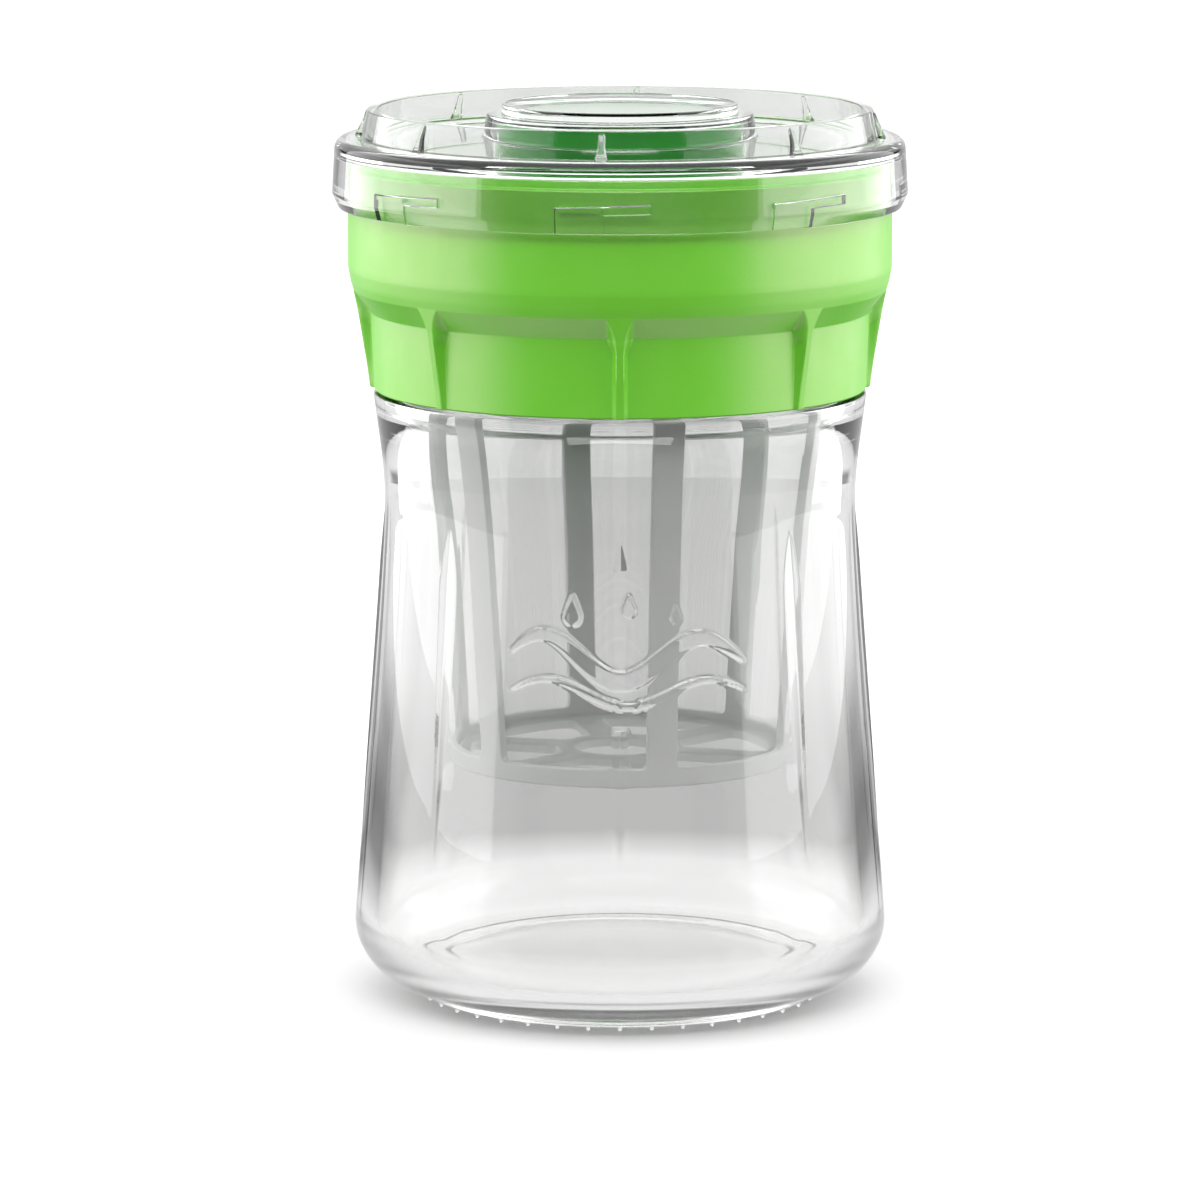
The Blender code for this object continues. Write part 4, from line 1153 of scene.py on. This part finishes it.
def grip_rib(sizes):
    """One tapered rib on the grip ring, made at the front, with a flared foot."""
    sections = []
    for z, reach, gain in GRIP_LEVELS:
        half = sizes.grip_width / MM / 2 + gain
        ease = min(GRIP_EASE, half * 0.5)
        back = GRIP_FOOT_RADIUS - GRIP_LEAN * (z - GRIP_FOOT) - GRIP_SINK
        side = [(half, -back), (half, -reach + ease), (half - ease, -reach)]
        sections.append([(-x, y, z) for x, y in side] + [(x, y, z) for x, y in reversed(side)])
    return bar("grip_rib", sections)


def groove_cutter(sizes):
    """Entry slot and climbing arm of one bayonet groove with eased edges, made at the front."""
    slot_half = sizes.slot_width / MM / 2
    arm_end = radians(sizes.arm_angle) * GROOVE_DEPTH + slot_half
    slot = np.linspace(-slot_half, slot_half, 9)
    arm = np.linspace(slot_half + GROOVE_EASE, arm_end, 12)
    eased_depth = GROOVE_DEPTH - GROOVE_EASE
    sections = []
    for along in np.concatenate([slot, arm]):
        share = (along + slot_half) / (arm_end + slot_half)
        top = ARM_TOP + ARM_TOP_CLIMB * share
        low = SLOT_LOW if along <= slot_half else ARM_LOW + ARM_LOW_CLIMB * share
        profile = (
            (GROOVE_INNER, low),
            (eased_depth, low),
            (GROOVE_DEPTH, low + GROOVE_EASE),
            (GROOVE_DEPTH, top - GROOVE_EASE),
            (eased_depth, top),
            (GROOVE_INNER, top),
        )
        sections.append(stood(profile, along / GROOVE_DEPTH))
    return bar("bayonet_groove", sections)


class KefirLidSizes(bpy.types.PropertyGroup):
    grip_count: IntProperty(name="Grip Ribs", description="Small ribs round the grip ring", default=8)
    grip_width: FloatProperty(name="Grip Width", description="Width of a grip rib", default=0.0014, unit="LENGTH")
    grip_angle: FloatProperty(
        name="First Grip", description="Angle of a grip rib from the front, in degrees", default=-4.0
    )
    slot_width: FloatProperty(
        name="Slot Width", description="Width of a bayonet entry slot", default=0.0089, unit="LENGTH"
    )
    arm_angle: FloatProperty(name="Arm Angle", description="Turn that locks the lid, in degrees", default=9.4)
    colour: FloatVectorProperty(
        name="Lid Colour", description="Tint of the clear plastic", default=(0.985, 0.995, 0.985), subtype="COLOR"
    )


class KEFIR_OT_lid(bpy.types.Operator):
    """Builds the clear lid with its boss, grip ring and bayonet grooves, and its silicone seal"""

    bl_idname = "kefir.lid"
    bl_label = "Clear Lid"

    def execute(self, context):
        sizes = context.scene.kefir_lid
        clear = clear_plastic_material(sizes.colour)
        lid = place(turned("clear_lid", LID_OUTLINE, False))
        pattern_ring(lid, "lid_grip_ribs", "UNION", grip_rib(sizes), sizes.grip_count, sizes.grip_angle, clear)
        count = context.scene.kefir_collar.lug_count
        pattern_ring(lid, "lid_grooves", "DIFFERENCE", groove_cutter(sizes), count, BAYONET_ANGLE, clear)
        dress(lid, clear, "lid", "clear_plastic", "lid")
        seal = place(turned("lid_seal_ring", SEAL_OUTLINE, True))
        dress(seal, silicone_material(context.scene.kefir_collar.gasket_colour), "lid", "silicone", "lid_seal")
        return {"FINISHED"}


# ------------------------------------------------------------------------------------------------------- press


GUIDE_OUTLINE = (
    (0.0, 169.0, 0),
    (23.7, 169.0, 0.5),
    (23.7, 164.2, 0.4),
    (22.1, 164.2, 0.4),
    (22.1, 166.2, 0.4),
    (20.0, 166.2, 0.6),
    (20.0, 141.0, 0.4),
    (17.2, 141.0, 0.3),
    (17.2, 143.0, 0.3),
    (18.2, 143.0, 0.2),
    (18.2, 166.2, 0.5),
    (0.0, 166.2, 0),
)
PLATE_OUTLINE = (
    (0.0, 122.0, 0),
    (15.1, 122.0, 0.6),
    (15.1, 145.3, 0.4),
    (17.9, 145.3, 0.4),
    (17.9, 143.3, 0.2),
    (16.9, 143.3, 0.3),
    (16.9, 122.0, 0.7),
    (34.2, 122.0, 0.7),
    (34.2, 126.0, 0.45),
    (35.6, 126.0, 0.45),
    (35.6, 119.6, 0.6),
    (0.0, 119.6, 0),
)
HOLE_RING, HOLE_SIDES, FIRST_HOLE = 25.55, 28, 4.5
HOLE_LEVELS = ((117.0, 0.3), (119.6, 0.3), (119.9, 0.0), (121.7, 0.0), (122.0, 0.3), (123.4, 0.3))
SPRING_LOW, SPRING_HIGH, SPRING_RADIUS, WIRE_RADIUS = 122.3, 165.9, 13.7, 0.8
SPRING_CLOSED_RISE = 2.15  # of a closed end turn, in wire radii


def plate_hole(sizes):
    """Round cutter with eased rims for one hole of the press plate, made at the front."""
    sections = []
    for z, ease in HOLE_LEVELS:
        radius = sizes.hole_radius / MM + ease
        turns = [tau * k / HOLE_SIDES for k in range(HOLE_SIDES)]
        sections.append([(radius * cos(a), -HOLE_RING + radius * sin(a), z) for a in turns])
    return bar("plate_hole", sections)


def coil_tree():
    """A compression spring with a closed turn at each end, swept along a spiral."""
    tree, given = new_tree(
        "press_coil_rule",
        [
            ("Turns", "Float", 9.0),
            ("Coil Radius", "Float", SPRING_RADIUS * MM),
            ("Wire Radius", "Float", WIRE_RADIUS * MM),
            ("Bottom", "Float", SPRING_LOW * MM),
            ("Top", "Float", SPRING_HIGH * MM),
        ],
    )
    plus, less, times, over = maths(tree)
    spiral = add_node(
        tree,
        "GeometryNodeCurveSpiral",
        {
            "Resolution": 48,
            "Rotations": given["Turns"],
            "Start Radius": given["Coil Radius"],
            "End Radius": given["Coil Radius"],
            "Height": 0.0,
        },
    ).outputs[0]
    share = add_node(tree, "GeometryNodeSplineParameter").outputs["Factor"]
    x, y, _ = split(tree, add_node(tree, "GeometryNodeInputPosition").outputs[0])
    closed_turn = over(1.0, given["Turns"])
    wire = times(given["Wire Radius"], SPRING_CLOSED_RISE)
    low = plus(given["Bottom"], given["Wire Radius"])
    high = less(given["Top"], given["Wire Radius"])
    first = over(share, closed_turn, clamp=True)
    last_start = less(1.0, closed_turn)
    last = over(less(share, last_start), closed_turn, clamp=True)
    open_share = less(1.0, times(closed_turn, 2.0))
    middle = over(less(share, closed_turn), open_share, clamp=True)
    open_rise = less(less(high, low), times(wire, 2.0))
    ends = times(wire, plus(first, last))
    z = plus(plus(low, ends), times(middle, open_rise))
    spot = add_node(tree, "ShaderNodeCombineXYZ", {"X": x, "Y": y, "Z": z}).outputs[0]
    path = add_node(tree, "GeometryNodeSetPosition", {"Geometry": spiral, "Position": spot}).outputs[0]
    circle = {"Resolution": 14, "Radius": given["Wire Radius"]}
    profile = add_node(tree, "GeometryNodeCurvePrimitiveCircle", circle).outputs[0]
    sweep = {"Curve": path, "Profile Curve": profile, "Fill Caps": True}
    return end_tree(tree, add_node(tree, "GeometryNodeCurveToMesh", sweep).outputs[0], given["Material"])


class KefirPressSizes(bpy.types.PropertyGroup):
    hole_count: IntProperty(name="Holes", description="Round holes of the press plate", default=12)
    hole_radius: FloatProperty(name="Hole Radius", description="Radius of a hole", default=0.0025, unit="LENGTH")
    coil_turns: FloatProperty(
        name="Coil Turns", description="Turns of the spring, closed ends among them", default=9.0
    )
    colour: FloatVectorProperty(
        name="Press Colour", description="Green of the press mouldings", default=(0.004, 0.34, 0.012), subtype="COLOR"
    )
    wire_colour: FloatVectorProperty(
        name="Wire Colour", description="Colour of the spring wire", default=(0.62, 0.63, 0.64), subtype="COLOR"
    )


class KEFIR_OT_press(bpy.types.Operator):
    """Builds the press under the lid: guide, spring and perforated plate"""

    bl_idname = "kefir.press"
    bl_label = "Press"

    def execute(self, context):
        sizes = context.scene.kefir_press
        green = satin_plastic_material("green_press_plastic", sizes.colour, 0.40, 0.000008)
        guide = place(turned("press_guide", GUIDE_OUTLINE, False))
        dress(guide, green, "press_housing", "lime_plastic", "press_housing")
        disc = place(turned("press_disc", PLATE_OUTLINE, False))
        pattern_ring(disc, "press_plate_holes", "DIFFERENCE", plate_hole(sizes), sizes.hole_count, FIRST_HOLE, green)
        dress(disc, green, "press_plate", "lime_plastic", "press_plate")
        wire = spring_material(sizes.wire_colour)
        seed = bpy.data.meshes.new("press_coil")
        seed.from_pydata([(0, 0, SPRING_LOW * MM), (0, 0, SPRING_HIGH * MM)], [(0, 1)], [])
        coil = grow(place(seed), coil_tree(), {"Turns": sizes.coil_turns, "Material": wire})
        dress(coil, wire, "press_housing", "spring_steel", "press_spring")
        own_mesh(coil)
        return {"FINISHED"}


# ------------------------------------------------------------------------------------------------------- stage


SOFTBOXES = (  # name, azimuth, distance, size, height, setting that holds its power, height that it faces
    ("left_softbox", -98, 0.55, (0.97, 0.56), 0.28, "side_light", 0.28),
    ("right_softbox", 98, 0.55, (0.98, 0.56), 0.28, "side_light", 0.28),
    ("key_softbox", 0, 1.1, (1.3, 0.5), 1.15, "key_light", 0.12),
    ("front_card", -1, 1.0, (1.25, 0.28), 0.30, "card_light", 0.30),
    ("low_card", -1, 0.99, (1.25, 0.16), 0.08, "low_card_light", 0.08),
)
# Where the studio's light changes: angles from the front, and upward parts of a ray's direction.
BACK_TURN, WIDE_TURN, FRONT_TURN = [np.radians(span).tolist() for span in ((148, 160), (100, 120), (35, 75))]
WIDE_RISE, TOP_RISE, FRONT_RAISED = (0.03, 0.10), (0.26, 0.50), 0.30
# Where the table's light changes: angles from the back, and distances from the jar's axis in metres.
NEAR_BACK, FAR_BACK = [np.radians(span).tolist() for span in ((26, 38), (55, 75))]
SIDE_START, SIDE_END = [np.radians(span).tolist() for span in ((64, 76), (119, 124))]
BACK_REACH, FAR_REACH, SIDE_REACH, UNDER_REACH = (0.20, 0.36), (0.30, 0.45), (0.07, 0.15), (0.105, 0.185)
# Painted shade: the floor's white rises from its lower value round the jar to the far white between the first two
# distances, in metres; the last is the floor's half width.
SHADED_WHITE_REACH, FLOOR_REACH = (0.12, 0.9), 12.0
CAMERA_PLACE, CAMERA_DIP = (0.0, -1.3235, 0.2921), 9.26
CAMERA_SENSOR, CAMERA_LENS, CAMERA_SHIFT = 36.0, 208.65, -20 / 1200


class KefirStageSettings(bpy.types.PropertyGroup):
    # Painted shade: the floor round the jar gets a lower white than further away. This offsets the softboxes' stronger
    # light there and darkens the jar's shadow on it.
    shaded_floor_white: FloatProperty(
        name="Floor White", description="Whiteness of the floor round the jar, as the camera sees it", default=0.63
    )
    far_white: FloatProperty(
        name="Far White", description="Whiteness of the floor further away, as the camera sees it", default=0.88
    )
    floor_bounce: FloatProperty(
        name="Floor Bounce", description="Share of the light on the floor that reaches the object", default=0.10
    )
    back_glow: FloatProperty(
        name="Back Glow", description="Light that the table gives from behind the object", default=0.36
    )
    far_glow: FloatProperty(
        name="Far Glow", description="Light that the table gives from further behind", default=0.64
    )
    under_glow: FloatProperty(
        name="Under Glow", description="Light that the table gives right under the jar", default=0.83
    )
    beside_glow: FloatProperty(
        name="Beside Glow", description="Light that the table gives before the side softboxes", default=0.7
    )
    side_glow: FloatProperty(
        name="Side Glow", description="Light that the rest of the table gives the object", default=0.04
    )
    top_light: FloatProperty(name="Top Light", description="Brightness of the studio from above", default=1.8)
    back_light: FloatProperty(name="Back Light", description="Brightness of the studio behind the jar", default=0.95)
    gap_light: FloatProperty(name="Gap Light", description="Brightness of the studio's dark sides", default=0.06)
    side_light: FloatProperty(name="Side Light", description="Power of each side softbox in watts", default=3.1)
    key_light: FloatProperty(
        name="Key Light", description="Power of the softbox high in front, in watts", default=10.5
    )
    card_light: FloatProperty(name="Front Card", description="Power of the dim card in front, in watts", default=0.1)
    low_card_light: FloatProperty(
        name="Low Card", description="Power of the low card under it, in watts", default=0.15
    )


def studio_world(settings):
    """Plain studio surroundings: bright above and behind, dark at the sides and in front."""
    world = bpy.data.worlds.new("plain_studio")
    world.use_nodes = True
    tree = world.node_tree
    _, less, times, _ = maths(tree)
    x, y, z = split(tree, add_node(tree, "ShaderNodeTexCoord").outputs["Generated"])
    turned_away = calc(tree, "ABSOLUTE", calc(tree, "ARCTAN2", x, times(y, -1.0)))
    straight_back = eased(tree, turned_away, *BACK_TURN)
    wide_back = times(eased(tree, turned_away, *WIDE_TURN), eased(tree, z, *WIDE_RISE))
    behind = calc(tree, "MAXIMUM", straight_back, wide_back)
    level = calc(tree, "MULTIPLY_ADD", behind, settings.back_light, settings.gap_light)
    raised = less(z, eased(tree, turned_away, *FRONT_TURN, FRONT_RAISED, 0.0))
    above = eased(tree, raised, *TOP_RISE)
    lit = calc(tree, "MULTIPLY_ADD", above, less(settings.top_light, level), level)
    seen = add_node(tree, "ShaderNodeLightPath").outputs["Is Camera Ray"]
    shown = calc(tree, "MULTIPLY_ADD", seen, less(1.0, lit), lit)
    feed(tree, tree.nodes["Background"], {"Strength": shown, "Color": (1, 1, 1, 1)})
    bpy.context.scene.world = world


def softbox(name, azimuth, distance, size, height, power, aim_height):
    """A rectangular area light that stands round the jar and faces its axis at a height."""
    light = bpy.data.lights.new(name, "AREA")
    light.shape = "RECTANGLE"
    light.size, light.size_y = size
    light.energy = power
    lamp = bpy.data.objects.new(name, light)
    turn = radians(azimuth)
    lamp.location = (distance * sin(turn), -distance * cos(turn), height)
    aim = Vector((0, 0, aim_height)) - lamp.location
    lamp.rotation_euler = aim.to_track_quat("-Z", "Y").to_euler()
    lamp.visible_camera = False
    bpy.context.scene.collection.objects.link(lamp)


def floor_material(settings):
    """Pale light table: white to the camera, with painted shade that lowers its white round the jar, and a glow from
    under and behind for the glass that stands on it.
    """
    material, tree, shader = new_material("pale_floor")
    plus, less, times, _ = maths(tree)
    x, y, _ = split(tree, own_place(tree))
    away = from_axis(tree, x, y)
    aside = calc(tree, "ARCTAN2", calc(tree, "ABSOLUTE", x), y)
    seen = add_node(tree, "ShaderNodeLightPath").outputs["Is Camera Ray"]
    # Painted shade: the white that the camera sees is lower round the jar and rises further away.
    white = eased(tree, away, *SHADED_WHITE_REACH, settings.shaded_floor_white, settings.far_white)
    share = calc(tree, "MULTIPLY_ADD", seen, 1.0 - settings.floor_bounce, settings.floor_bounce)
    straight_back = eased(tree, aside, *NEAR_BACK, 1.0, 0.0)
    far_back = times(eased(tree, away, *FAR_REACH), eased(tree, aside, *FAR_BACK, 1.0, 0.0))
    lit = calc(tree, "MAXIMUM", straight_back, far_back)
    rest = settings.side_glow
    further = eased(tree, away, *BACK_REACH, settings.back_glow - rest, settings.far_glow - rest)
    behind = plus(times(lit, further), rest)
    sideways = times(eased(tree, aside, *SIDE_START), eased(tree, aside, *SIDE_END, 1.0, 0.0))
    beside = times(sideways, eased(tree, away, *SIDE_REACH, 0.0, settings.beside_glow))
    under = times(eased(tree, away, *UNDER_REACH, 1.0, 0.0), settings.under_glow)
    glow = calc(tree, "MAXIMUM", calc(tree, "MAXIMUM", behind, beside), under)
    material.cycles.emission_sampling = "NONE"
    feed(tree, shader, {"Base Color": times(white, share), "Roughness": 0.85, "Specular IOR Level": 0.1})
    feed(tree, shader, {"Emission Strength": times(glow, less(1.0, seen)), "Emission Color": (1, 1, 1, 1)})
    return material


class KEFIR_OT_stage(bpy.types.Operator):
    """Lays the floor, the studio light and the camera"""

    bl_idname = "kefir.stage"
    bl_label = "Stage"

    def execute(self, context):
        settings = context.scene.kefir_stage
        mesh = bpy.data.meshes.new("floor")
        corners = [(x * FLOOR_REACH, y * FLOOR_REACH, 0) for x, y in ((-1, -1), (1, -1), (1, 1), (-1, 1))]
        mesh.from_pydata(corners, [], [(0, 1, 2, 3)])
        mesh.materials.append(floor_material(settings))
        place(mesh)
        studio_world(settings)
        for name, azimuth, distance, size, height, power, aim_height in SOFTBOXES:
            softbox(name, azimuth, distance, size, height, getattr(settings, power), aim_height)
        lens = bpy.data.cameras.new("photo_camera")
        lens.sensor_width, lens.lens, lens.shift_x = CAMERA_SENSOR, CAMERA_LENS, CAMERA_SHIFT
        lens.clip_end = 60.0
        camera = bpy.data.objects.new("photo_camera", lens)
        camera.location = CAMERA_PLACE
        camera.rotation_euler = (radians(90 - CAMERA_DIP), 0.0, 0.0)
        context.scene.collection.objects.link(camera)
        context.scene.camera = camera
        context.scene.view_settings.view_transform = "Standard"
        return {"FINISHED"}


class KEFIR_PT_panel(bpy.types.Panel):
    """Lists the pieces and their sizes in the sidebar"""

    bl_idname = "KEFIR_PT_panel"
    bl_label = "Kefir Cheese Maker"
    bl_space_type = "VIEW_3D"
    bl_region_type = "UI"
    bl_category = "Kefir"

    def draw(self, context):
        for operator, group_name, group in STEPS:
            box = self.layout.box()
            box.operator(operator.bl_idname)
            settings = getattr(context.scene, group_name)
            for name in group.__annotations__:
                box.prop(settings, name)


STEPS = (
    (KEFIR_OT_jar, "kefir_jar", KefirJarSizes),
    (KEFIR_OT_collar, "kefir_collar", KefirCollarSizes),
    (KEFIR_OT_strainer, "kefir_strainer", KefirStrainerSizes),
    (KEFIR_OT_lid, "kefir_lid", KefirLidSizes),
    (KEFIR_OT_press, "kefir_press", KefirPressSizes),
    (KEFIR_OT_stage, "kefir_stage", KefirStageSettings),
)


def register():
    for operator, group_name, group in STEPS:
        bpy.utils.register_class(group)
        bpy.utils.register_class(operator)
        setattr(bpy.types.Scene, group_name, PointerProperty(type=group))
    bpy.utils.register_class(KEFIR_PT_panel)


def unregister():
    bpy.utils.unregister_class(KEFIR_PT_panel)
    for operator, group_name, group in reversed(STEPS):
        delattr(bpy.types.Scene, group_name)
        bpy.utils.unregister_class(operator)
        bpy.utils.unregister_class(group)


def main():
    register()
    bpy.ops.kefir.jar()
    bpy.ops.kefir.collar()
    bpy.ops.kefir.strainer()
    bpy.ops.kefir.lid()
    bpy.ops.kefir.press()
    bpy.ops.kefir.stage()


if __name__ == "__main__":
    main()
